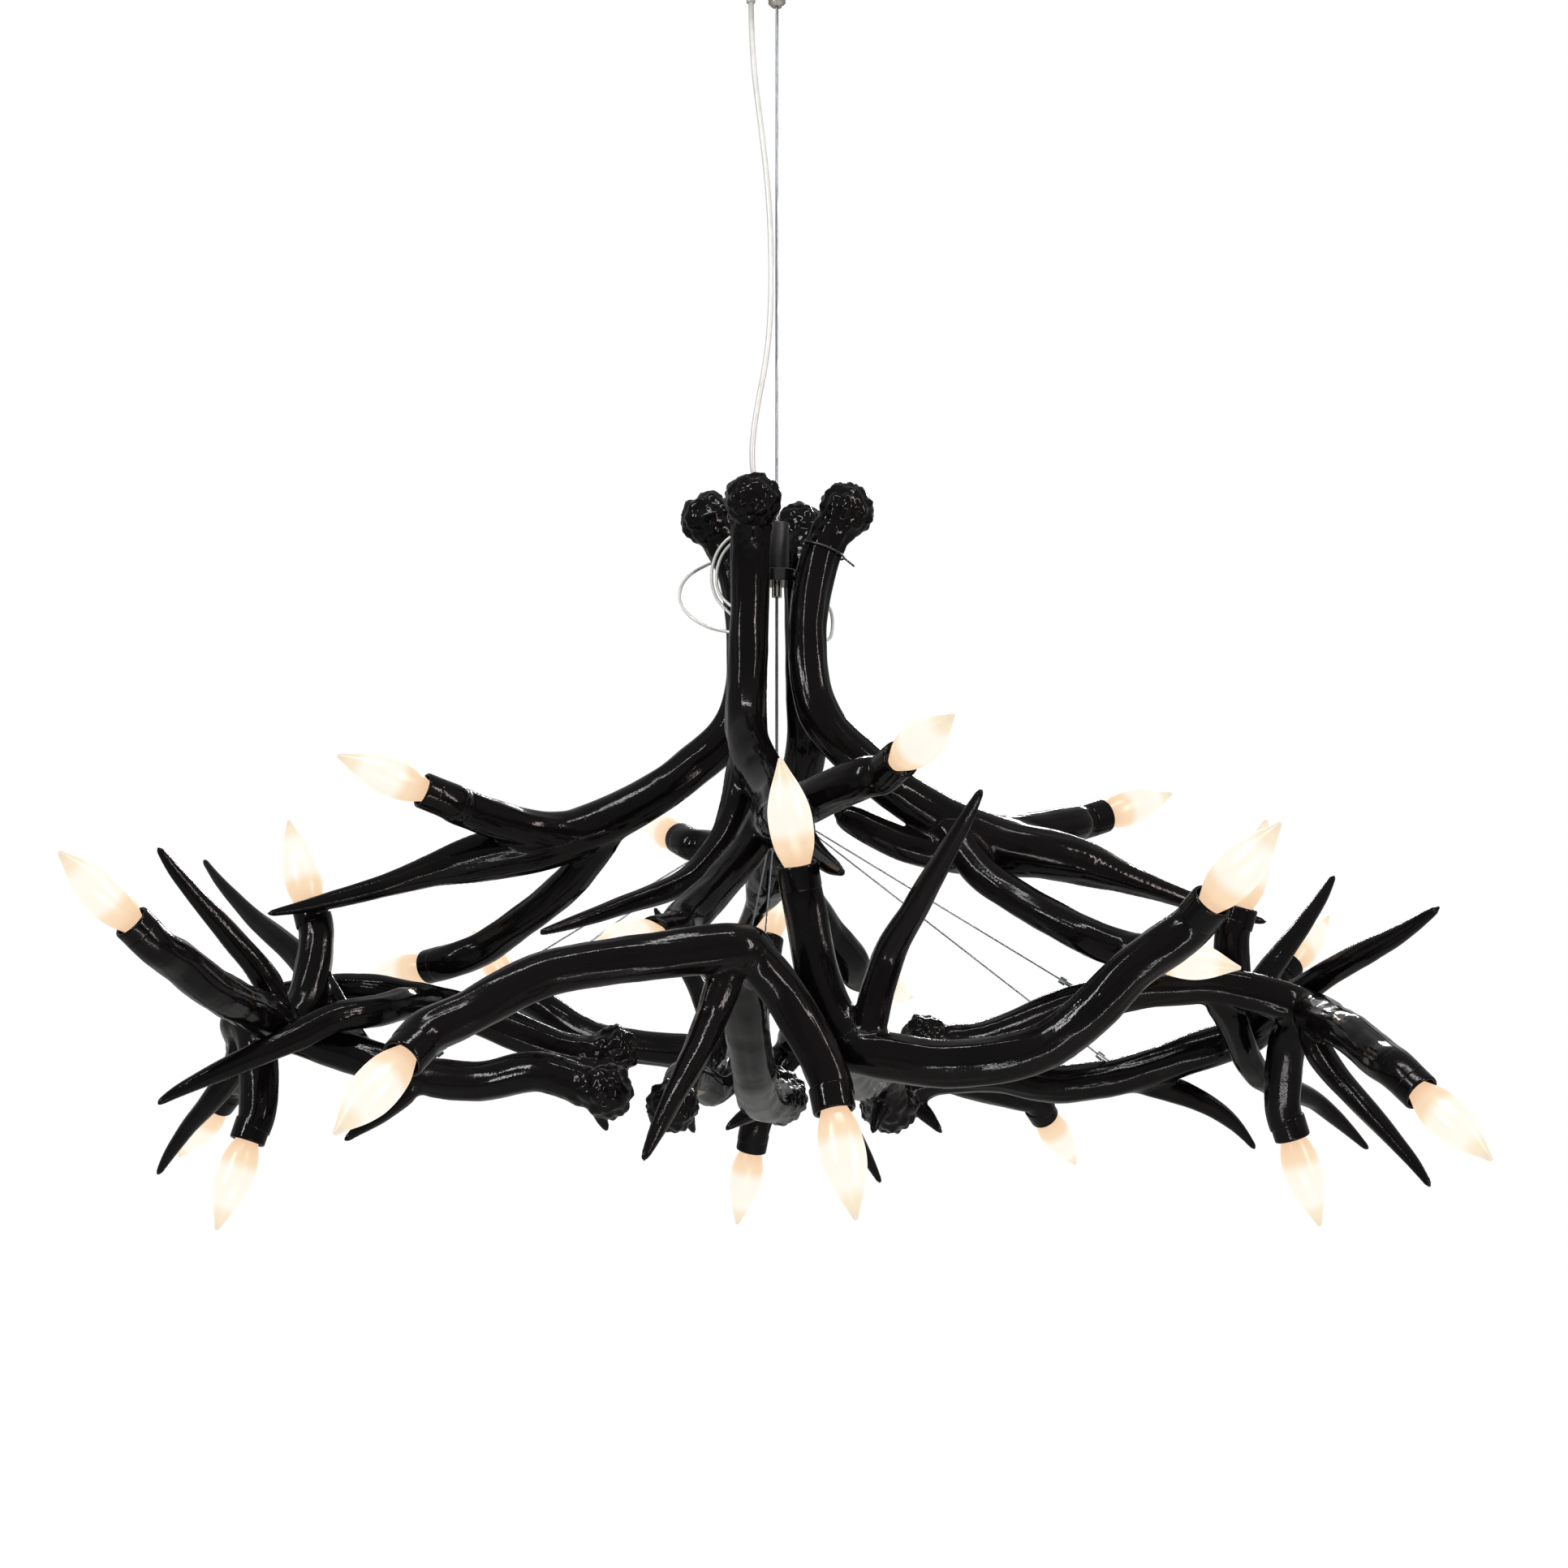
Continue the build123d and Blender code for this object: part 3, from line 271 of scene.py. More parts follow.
def empty_tree(owner: bpy.types.Material | bpy.types.World) -> Tree:
    """The node tree of a material or a world, with nothing in it."""
    owner.use_nodes = True
    owner.node_tree.nodes.clear()
    return owner.node_tree


class Look:
    """A material that is made when it is first asked for."""

    name: str

    def build(self) -> bpy.types.Material:
        """Make the material, or give back the one already made."""
        made = bpy.data.materials.get(self.name)
        if made:
            return made
        material = bpy.data.materials.new(self.name)
        tree = empty_tree(material)
        add_node(tree, "ShaderNodeOutputMaterial", {"Surface": self.shade(tree)})
        return material

    def shade(self, tree: Tree) -> Socket:
        """Build the shader, and give its output."""
        raise NotImplementedError


@dataclass(frozen=True)
class Finish(Look):
    """A plain finish: a base colour that varies a little, with a fine relief.

    The grain is the real size of the pattern in millimetres, and the relief its height.
    """

    name: str
    colour: str
    second: str
    roughness: float
    metallic: float = 0.0
    ior: float = 1.5
    coat: float = 0.0
    transmission: float = 0.0
    grain: float = 4.0
    relief: float = 0.05
    stretch: Point = (1.0, 1.0, 1.0)

    BROADER = 6              # the colour's patches against the grain
    DULLEST, GLOSSIEST = 1.3, 0.75

    def shade(self, tree: Tree) -> Socket:
        """Build the shader, and give its output."""
        place = Coordinates.OBJECT.source(tree)
        spot = output(tree, "ShaderNodeMapping", {"Vector": place, "Scale": self.stretch})
        grain = noise(tree, spot, 1 / (self.grain * MM), 4.0)
        broad = noise(tree, place, 1 / (self.grain * MM * self.BROADER), 2.0)
        rough = output(tree, "ShaderNodeMapRange",
                       {"Value": grain, "To Min": self.roughness * self.GLOSSIEST,
                        "To Max": min(1.0, self.roughness * self.DULLEST)})
        return output(tree, "ShaderNodeBsdfPrincipled",
                      {"Base Color": blend(tree, broad, self.colour, self.second),
                       "Roughness": rough, "Metallic": self.metallic, "IOR": self.ior,
                       "Coat Weight": self.coat, "Coat Roughness": 0.08,
                       "Transmission Weight": self.transmission,
                       "Normal": bump(tree, grain, 0.6, self.relief)})


# Satin powder-coated steel of the canopy: even black with a faint orange-peel relief.
SATIN_BLACK = Finish("powder_coated_steel", "#141313", "#1c1b1a", 0.42, grain=1.6, relief=0.03)
# Gloss stoved paint on the turned collar and hub: deep black that mirrors the lamps.
GLOSS_BLACK = Finish("stoved_black_paint", "#0c0b0b", "#151413", 0.18, coat=0.4, grain=3.0,
                     relief=0.02)
# Zinc-plated pressed steel: blue-grey, with the mottled spangle that plating leaves.
ZINC = Finish("zinc_plated_steel", "#b4b8bb", "#8f9498", 0.36, metallic=1.0, grain=2.5, relief=0.02)
# Nickel-plated turned brass: warmer and brighter than zinc, with lathe lines across the axis.
NICKEL = Finish("nickel_plated_brass", "#c9c6bd", "#b0aca2", 0.22, metallic=1.0, grain=0.8,
                relief=0.01, stretch=(0.15, 0.15, 3.0))
# Drawn steel wire of the cable's strands: mid grey, polished by the drawing die.
STEEL_WIRE = Finish("drawn_steel_wire", "#a2a5a8", "#7b7e82", 0.3, metallic=1.0, grain=1.0,
                    relief=0.01)
# Heat-shrunk polyolefin over the splice: dull black with slight puckers.
SHRINK = Finish("shrink_sleeve", "#0b0b0c", "#121213", 0.5, grain=5.0, relief=0.25)
# Annealed tie wire with a thin black coat: it dulls the steel and rounds the highlights.
TIE_WIRE = Finish("black_tie_wire", "#111111", "#1c1a19", 0.35, grain=2.0, relief=0.04)
# Clear PVC jacket over tinned strands: a pale silvery line with a wet edge highlight.
CLEAR_PVC = Finish("clear_pvc_lead", "#b9bab6", "#dcdcd8", 0.2, ior=1.53, coat=0.5,
                   transmission=0.25, grain=1.4, relief=0.05)
# Moulded clear nylon of the strain relief: milky, with flow marks.
CLEAR_NYLON = Finish("clear_nylon", "#c8c9c6", "#dededa", 0.3, ior=1.53, transmission=0.5,
                     grain=6.0)
# Moulded phenolic of sockets and terminals: dull brown-black with a slight sheen.
PHENOLIC = Finish("moulded_phenolic", "#151211", "#1f1b19", 0.45, grain=3.0, relief=0.03)


@dataclass(frozen=True)
class CastGlaze(Look):
    """Glossy black gel coat on cast resin: mirror-like, with the antler's grain showing through."""

    name: str = "black_cast_resin"
    colour: str = "#040404"
    second: str = "#0d0a0a"
    streak_width: float = 3.0                       # millimetres
    pit_size: float = 2.2                           # millimetres
    patch_scale: float = 18.0                       # patches in a metre
    roughness: tuple[float, float] = (0.05, 0.17)

    def shade(self, tree: Tree) -> Socket:
        """Build the shader, and give its output."""
        place = Coordinates.OBJECT.source(tree)
        # The grain's coordinates are drawn out along the limb, so its lines run along it.
        streaks = noise(tree, Coordinates.AROUND.source(tree), 1 / (self.streak_width * MM),
                        3.0, 0.55)
        pits = noise(tree, place, 1 / (self.pit_size * MM), 2.0)
        patches = noise(tree, place, self.patch_scale, 3.0)
        glossiest, dullest = self.roughness
        rough = output(tree, "ShaderNodeMapRange",
                       {"Value": patches, "From Min": 0.3, "From Max": 0.7,
                        "To Min": glossiest, "To Max": dullest})
        lines = bump(tree, streaks, 0.4, 0.4)
        return output(tree, "ShaderNodeBsdfPrincipled",
                      {"Base Color": blend(tree, patches, self.colour, self.second),
                       "Roughness": rough, "IOR": 1.36, "Specular IOR Level": 0.2,
                       "Normal": bump(tree, pits, 0.3, 0.3, lines)})


@dataclass(frozen=True)
class LitGlass(Look):
    """Frosted soda glass, lit from inside: white at the filament, peach towards base and tip."""

    name: str = "frosted_lamp_glass"
    stops: tuple[tuple[float, str], ...] = (
        (0.0, "#f2cca8"), (0.2, "#f9dcb8"), (0.36, "#fff8ea"), (0.7, "#fffaee"),
        (0.86, "#f8e8cb"), (1.0, "#eedcc6"))
    glow: float = 0.97
    frost_scale: float = 900.0                      # grains of frost in a metre

    def shade(self, tree: Tree) -> Socket:
        """Build the shader, and give its output."""
        ramp = add_node(tree, "ShaderNodeValToRGB", {"Fac": Coordinates.HEIGHT.source(tree)})
        ramp.color_ramp.interpolation = "EASE"
        ends = ramp.color_ramp.elements
        while len(ends) < len(self.stops):
            ends.new(0.5)
        for element, (spot, code) in zip(ends, self.stops):
            element.position, element.color = spot, linear(code)
        frost = noise(tree, Coordinates.OBJECT.source(tree), self.frost_scale, 2.0)
        return output(tree, "ShaderNodeBsdfPrincipled",
                      {"Base Color": linear("#2a2622"), "Roughness": 0.32, "IOR": 1.5,
                       "Emission Color": ramp.outputs[0], "Emission Strength": self.glow,
                       "Normal": bump(tree, frost, 0.3, 0.05)})


ANTLER_GLAZE = CastGlaze()
LAMP_LIGHT = LitGlass()


def unit(way: Point | Array) -> Array:
    """The direction of a way, of length 1."""
    way = np.array(way, float)
    return way / np.linalg.norm(way)


def square_to(way: Array) -> Array:
    """A direction square to a way."""
    return unit(np.cross(way, OFF_AXIS))


def smoothed(rows: Array) -> Array:
    """Rows of values with more between them, on a smooth curve through the given ones."""
    for _ in range(SMOOTH_ROUNDS):
        padded = np.vstack([2 * rows[0] - rows[1], rows, 2 * rows[-1] - rows[-2]])
        middles = (9 * padded[1:-2] + 9 * padded[2:-1] - padded[:-3] - padded[3:]) / 16
        joined = np.empty((len(rows) * 2 - 1, rows.shape[1]))
        joined[0::2], joined[1::2] = rows, middles
        rows = joined
    return rows


def add_loop(shape: Shape, centre: Array, radius: float, side: Array,
             other: Array, count: int) -> list[bmesh.types.BMVert]:
    """Add one round loop of corners to a shape.

    Args:
        shape: the shape that gets it, in metres.
        centre: the loop's centre, in millimetres.
        radius: its radius, in millimetres.
        side: the direction of its first corner.
        other: the direction a quarter turn on.
        count: how many corners it has.

    Returns:
        The corners, in order.
    """
    angles = np.linspace(0, 2 * math.pi, count, endpoint=False)
    spots = centre + radius * (np.outer(np.cos(angles), side) + np.outer(np.sin(angles), other))
    return [shape.verts.new(spot * MM) for spot in spots]


def join_loops(shape: Shape, loops: list[list[bmesh.types.BMVert]],
               closed: bool) -> None:
    """Span faces between loops, from the last to the first too, or with a face at each end."""
    pairs = list(zip(loops, loops[1:])) + ([(loops[-1], loops[0])] if closed else [])
    for near, far in pairs:
        for k in range(len(near)):
            n = (k + 1) % len(near)
            shape.faces.new((near[k], near[n], far[n], far[k]))
    if not closed:
        shape.faces.new(loops[0][::-1])
        shape.faces.new(loops[-1])


def lathe(shape: Shape, outline: list[tuple[float, float]], origin: Array,
          way: Array, sides: int, closed: bool) -> None:
    """Add a turned form to a shape.

    Args:
        shape: the shape that gets it, in metres.
        outline: (radius, height) pairs in millimetres, with the solid on the axis side.
        origin: the point of height 0, in millimetres.
        way: the axis.
        sides: how many faces go round.
        closed: True joins the outline's end to its start, False closes both ends with a face.
    """
    side = square_to(way)
    other = np.cross(way, side)
    loops = [add_loop(shape, origin + way * height, radius, side, other, sides)
             for radius, height in outline]
    join_loops(shape, loops, closed)


def place(name: str, data: bpy.types.ID) -> bpy.types.Object:
    """A new object in the scene that holds a mesh, curve, light or camera."""
    piece = bpy.data.objects.new(name, data)
    bpy.context.scene.collection.objects.link(piece)
    return piece


def new_piece(name: str, shape: Shape) -> bpy.types.Object:
    """A new object in the scene that takes a shape over."""
    mesh = bpy.data.meshes.new(name)
    shape.to_mesh(mesh)
    shape.free()
    return place(name, mesh)


def write_values(mesh: bpy.types.Mesh, name: str, values: Array) -> None:
    """Write one number for each point of a mesh, as an attribute."""
    layer = mesh.attributes.new(name, "FLOAT", "POINT")
    layer.data.foreach_set("value", values.astype(np.float32))


def bake(piece: bpy.types.Object) -> None:
    """Turn a piece with modifiers to a plain mesh."""
    bpy.context.view_layer.update()
    shown = piece.evaluated_get(bpy.context.evaluated_depsgraph_get())
    mesh = bpy.data.meshes.new_from_object(shown, preserve_all_data_layers=True,
                                           depsgraph=bpy.context.evaluated_depsgraph_get())
    piece.modifiers.clear()
    old = piece.data
    piece.data = mesh
    mesh.name = piece.name
    if old.users == 0:
        bpy.data.meshes.remove(old)


@dataclass(frozen=True)
class Stance:
    """Where an antler stands: its bearing, level, small turn and shift, and which way up."""

    bearing: float
    level: float
    turn: float = 0.0
    shift: Point = (0.0, 0.0, 0.0)
    turned_over: bool = False

    def _spun(self, ways: Array, turn: float) -> Array:
        """Ways after the turn, the turning over and the bearing."""
        out = np.atleast_2d(np.array(ways, float)).copy()
        for angle, flip in ((turn, self.turned_over), (self.bearing, False)):
            c, s = math.cos(math.radians(angle)), math.sin(math.radians(angle))
            out = np.stack([out[:, 0] * c - out[:, 1] * s,
                            out[:, 0] * s + out[:, 1] * c, out[:, 2]], 1)
            if flip:
                out[:, 1:] *= -1
        return out

    def aim(self, ways: Array) -> Array:
        """Directions of the antler as they point in the chandelier."""
        return self._spun(ways, self.turn)

    def put(self, points: Array) -> Array:
        """Points of the antler as they lie in the chandelier, in millimetres."""
        return self.aim(points) + self._spun(self.shift, 0.0) + [0.0, 0.0, self.level]


@dataclass
class Limb:
    """A tapering round limb along a smooth line. One with a lamp ends in a bored tube."""

    rows: Array
    mouth: Array | None = None
    way: Array | None = None
    line: Array = field(init=False)

    SIDES = 40
    LEAST_RADIUS = 1.2
    TIP_REACH = 0.9          # how far the rounded tip goes on, in tip radii
    TIP_TAPER = 0.5
    EDGE_GAP, EDGE_STEP = 2.0, 0.5       # from the tube's skin and its edge to the mouth's depth

    def __post_init__(self) -> None:
        """Work out the smooth line from the rows."""
        self.line = smoothed(self.rows)
        self.line[:, 3] = np.maximum(self.line[:, 3], self.LEAST_RADIUS)

    @classmethod
    def placed(cls, stance: Stance, rows: list[Row],
               end: tuple[Point, Point] | None = None) -> "Limb":
        """Place a limb given in the antler's own coordinates.

        Args:
            stance: where the antler stands.
            rows: the round sections, in millimetres.
            end: the lamp tube's mouth and the way it faces, if it has one.

        Returns:
            The limb in the chandelier's coordinates, in millimetres.
        """
        given = np.array(rows, float)
        points = stance.put(given[:, :3])
        radii = given[:, 3]
        mouth = way = None
        if end:
            mouth, way = stance.put(end[0])[0], unit(stance.aim(end[1])[0])
            points = np.vstack([points, mouth - way * TUBE_LEAD, mouth])
            radii = np.append(radii, [TUBE_END_RADIUS + TUBE_TAPER, TUBE_END_RADIUS])
        return cls(np.column_stack([points, radii]), mouth, way)

    def frames(self) -> tuple[Array, Array, Array]:
        """The direction of the line at each of its points, and two ways square to it."""
        ways = np.gradient(self.line[:, :3], axis=0)
        ways /= np.linalg.norm(ways, axis=1)[:, None]
        side = square_to(ways[0])
        sides = []
        for way in ways:
            side = unit(side - way * (side @ way))
            sides.append(side)
        sides = np.array(sides)
        return ways, sides, np.cross(ways, sides)

    def rings(self) -> list[tuple[Array, float, int]]:
        """Centre, radius and line number of each ring of the skin, from the root to the end."""
        last = len(self.line) - 1
        rings = [(row[:3], row[3], i) for i, row in enumerate(self.line)]
        if self.mouth is None:
            ways = self.frames()[0]
            tip = self.line[-1]
            rings.append((tip[:3] + ways[-1] * tip[3] * self.TIP_REACH,
                          tip[3] * self.TIP_TAPER, last))
            return rings
        keep = [ring for ring in rings
                if (ring[0] - self.mouth) @ self.way < -MOUTH_DEPTH - self.EDGE_GAP]
        edge = self.mouth - self.way * (MOUTH_DEPTH + self.EDGE_STEP)
        floor = self.mouth - self.way * BORE_DEPTH
        return keep + [(edge, TUBE_END_RADIUS, last), (edge, BORE_RADIUS, last),
                       (floor, BORE_RADIUS, last)]

    def skin(self, shape: Shape) -> None:
        """Add the limb's closed skin to a shape, in metres."""
        _, sides, others = self.frames()
        loops = [add_loop(shape, centre, radius, sides[i], others[i], self.SIDES)
                 for centre, radius, i in self.rings()]
        join_loops(shape, loops, closed=False)

    def measured(self, spots: Array) -> dict[str, Array]:
        """Measure points against the limb.

        Args:
            spots: points in millimetres.

        Returns:
            By name: the gap to the surface, the radius there, the nearest point of the surface,
            the way out of the line across and up, and the lengths gone and left along it.
        """
        _, sides, others = self.frames()
        starts, runs = self.line[:-1], np.diff(self.line, axis=0)
        runs, widening = runs[:, :3], runs[:, 3]
        lengths = np.linalg.norm(runs, axis=1)
        travelled = np.concatenate([[0.0], np.cumsum(lengths)])
        gap = np.full(len(spots), FAR)
        which, share = np.zeros(len(spots), int), np.zeros(len(spots))
        for i, (start, run, length) in enumerate(zip(starts, runs, lengths)):
            t = np.clip((spots - start[:3]) @ run / length ** 2, 0, 1)
            away = np.linalg.norm(spots - start[:3] - t[:, None] * run, axis=1)
            away = away - (start[3] + t * widening[i])
            closer = away < gap
            gap[closer], which[closer], share[closer] = away[closer], i, t[closer]
        centre = starts[which, :3] + share[:, None] * runs[which]
        radius = starts[which, 3] + share * widening[which]
        out = spots - centre
        out /= np.maximum(np.linalg.norm(out, axis=1), TINY)[:, None]
        gone = travelled[which] + share * lengths[which]
        return {"gap": gap, "radius": radius, "surface": centre + out * radius[:, None],
                "across": (out * sides[which]).sum(1), "up": (out * others[which]).sum(1),
                "gone": gone, "left": travelled[-1] - gone}


@dataclass
class Ring:
    """How one antler of the lower ring is grown from the common outline.

    The sag lowers the whole antler towards its fork. Each part takes its own share of it.
    """

    burr: Point
    beam: list[Row]
    extras: tuple[list[Row], ...] = ()
    sag: float = 0.0
    spread: float = 0.0
    post: Point = (0, 0, 0)
    tine: Point = (0, 0, 0)
    arm: Point = (0, 0, 0)

    BURR_REACH = 35.0        # the beam's rows start this far out from the burr
    SAG_START = 250.0        # the sag sets in this far out,
    SAG_SPAN = 175.0         # and has grown to its full share this much further on
    BEAM_SAG, FORK_SAG, TINE_SAG, POST_SAG = 0.4, 0.5, 0.4, 0.2
    ARM_SAG = (0.9, 0.9, 0.4)
    ARM_SPREAD = (0.0, 0.0, 0.8)
    POST_BEND = 0.3
    TINE_SHARES = ((0, 0), (0.2, 0), (0.4, 0), (0.7, 0.7), (0.9, 0.9), (1, 1))

    def limbs(self, stance: Stance) -> list[Limb]:
        """The beam and arm, the post, the main tine and the extra tines."""
        arm_end = (tuple(np.array(RING_ARM_END[0]) + self.arm + [0, self.spread, 0]),
                   RING_ARM_END[1])
        post_end = (tuple(np.array(RING_POST_END[0]) + self.post), RING_POST_END[1])
        return [Limb.placed(stance, self._main(), arm_end),
                Limb.placed(stance, self._post(), post_end),
                Limb.placed(stance, self._tine())] \
            + [Limb.placed(stance, rows) for rows in self.extras]

    def _main(self) -> list[Row]:
        """The rows from the burr along the beam, over the fork and along the arm."""
        burr = np.array(self.burr, float)
        rows = [tuple(burr + row[:3]) + (row[3],) for row in RING_BURR]
        rows += [row for row in self.beam if row[0] > self.burr[0] + self.BURR_REACH]
        rows = [(x, y, z - self.sag * self.BEAM_SAG
                 * max(0.0, (x - self.SAG_START) / self.SAG_SPAN), r) for x, y, z, r in rows]
        x, y, z, r = RING_FORK
        rows.append((x, y, z - self.sag * self.FORK_SAG, r))
        return rows + [(x, y + self.spread * wider, z - self.sag * lower, r)
                       for (x, y, z, r), wider, lower
                       in zip(RING_ARM, self.ARM_SPREAD, self.ARM_SAG)]

    def _post(self) -> list[Row]:
        """The rows of the post, from the fork."""
        (x, y, z, r), (x2, y2, z2, r2) = RING_POST
        return [(x, y, z - self.sag * self.FORK_SAG, r),
                (x2 + self.post[0] * self.POST_BEND, y2 + self.post[1] * self.POST_BEND,
                 z2 - self.sag * self.POST_SAG, r2)]

    def _tine(self) -> list[Row]:
        """The rows of the main tine, from the fork to its tip."""
        rows = [(x + self.tine[0] * a, y + self.tine[1] * a, z + self.tine[2] * b, r)
                for (x, y, z, r), (a, b) in zip(RING_TINE, self.TINE_SHARES)]
        x, y, z, r = rows[0]
        rows[0] = (x, y, z - self.sag * self.TINE_SAG, r)
        return rows


@dataclass
class Crown:
    """How one antler of the crown is grown from the common outline."""

    extras: tuple[list[Row], ...] = ()

    def limbs(self, stance: Stance) -> list[Limb]:
        """The neck and palm, the upper tube, the lower tube and any extra tine."""
        return [Limb.placed(stance, CROWN_MAIN),
                Limb.placed(stance, CROWN_UPPER, CROWN_UPPER_END),
                Limb.placed(stance, CROWN_LOWER, CROWN_LOWER_END)] \
            + [Limb.placed(stance, rows) for rows in self.extras]


class Recipe:
    """A geometry node tree with named sizes, made once and run on many pieces."""

    def __init__(self, name: str, sizes: tuple[str, ...]) -> None:
        """Start the tree.

        Args:
            name: the tree's name.
            sizes: the names of its inputs that are sizes in metres.
        """
        self.tree = bpy.data.node_groups.new(name, "GeometryNodeTree")
        face = self.tree.interface
        face.new_socket("Geometry", in_out="INPUT", socket_type="NodeSocketGeometry")
        self.keys: dict[str, str] = {}
        for label, kind in [(size, "Float") for size in sizes] + [("Material", "Material")]:
            socket = face.new_socket(label, in_out="INPUT", socket_type=f"NodeSocket{kind}")
            self.keys[label] = socket.identifier
        face.new_socket("Geometry", in_out="OUTPUT", socket_type="NodeSocketGeometry")
        self.given = add_node(self.tree, "NodeGroupInput").outputs

    def _maths(self, operation: str, first: object, second: object) -> Socket:
        """The result of one sum, from sockets or numbers."""
        return maths(self.tree, operation, first, second)

    def _end(self, geometry: Socket) -> None:
        """End the tree: make instances real, give the material and send the geometry out."""
        whole = output(self.tree, "GeometryNodeRealizeInstances", {"Geometry": geometry})
        dressed = output(self.tree, "GeometryNodeSetMaterial",
                         {"Geometry": whole, "Material": self.given["Material"]})
        add_node(self.tree, "NodeGroupOutput", {"Geometry": dressed})

    def run(self, piece: bpy.types.Object, sizes: dict[str, float],
            material: bpy.types.Material) -> None:
        """Run the tree on a piece and keep its result as the piece's plain mesh.

        Args:
            piece: the piece.
            sizes: each named size, in millimetres.
            material: what the result is made of.
        """
        modifier = piece.modifiers.new(self.tree.name, "NODES")
        modifier.node_group = self.tree
        for label, size in sizes.items():
            modifier[self.keys[label]] = size * MM
        modifier[self.keys["Material"]] = material
        bake(piece)


class ReliefTree(Recipe):
    """The node tree that raises flutes along the limbs and pearls round the burrs."""

    SIZES = {"Flute depth": 2.6, "Swell": 1.8, "Pearl height": 7.0, "Pearl size": 9.0}
    FLUTE_SCALE = 105.0
    SWELL_SCALE = 22.0
    PEARL_EDGE = 0.45        # the distance from a pearl's middle where it meets the beam

    def __init__(self) -> None:
        """Build the tree."""
        super().__init__("antler_relief", tuple(self.SIZES))
        tree, given = self.tree, self.given
        spot = output(tree, "GeometryNodeInputPosition")
        flutes = self._centred(noise(tree, self._attribute(Coordinates.AROUND.value,
                                                           "FLOAT_VECTOR"),
                                     self.FLUTE_SCALE, 2.0, 0.4))
        swells = self._centred(noise(tree, spot, self.SWELL_SCALE, 1.0))
        cells = add_node(tree, "ShaderNodeTexVoronoi",
                         {"Vector": spot, "Smoothness": 0.35,
                          "Scale": self._maths("DIVIDE", 1.0, given["Pearl size"])},
                         feature="SMOOTH_F1").outputs["Distance"]
        pearls = self._maths("SUBTRACT", self.PEARL_EDGE, cells)
        parts = ((flutes, "Flute depth", "fluting"), (swells, "Swell", "fluting"),
                 (pearls, "Pearl height", "pearling"))
        total = None
        for pattern, size, mask in parts:
            high = self._maths("MULTIPLY", self._maths("MULTIPLY", pattern, given[size]),
                               self._attribute(mask, "FLOAT"))
            total = high if total is None else self._maths("ADD", total, high)
        normal = output(tree, "GeometryNodeInputNormal")
        offset = output(tree, "ShaderNodeVectorMath", {0: normal, "Scale": total},
                        operation="SCALE")
        self._end(output(tree, "GeometryNodeSetPosition",
                         {"Geometry": given["Geometry"], "Offset": offset}))

    def _attribute(self, name: str, kind: str) -> Socket:
        """A named attribute of the mesh's points."""
        return output(self.tree, "GeometryNodeInputNamedAttribute", {"Name": name}, data_type=kind)

    def _centred(self, pattern: Socket) -> Socket:
        """A noise from 0 to 1 as one from about -1 to 1."""
        return self._maths("MULTIPLY", self._maths("SUBTRACT", pattern, 0.5), 2.0)

    def apply(self, piece: bpy.types.Object, material: bpy.types.Material) -> None:
        """Give a piece its relief and its material."""
        self.run(piece, self.SIZES, material)


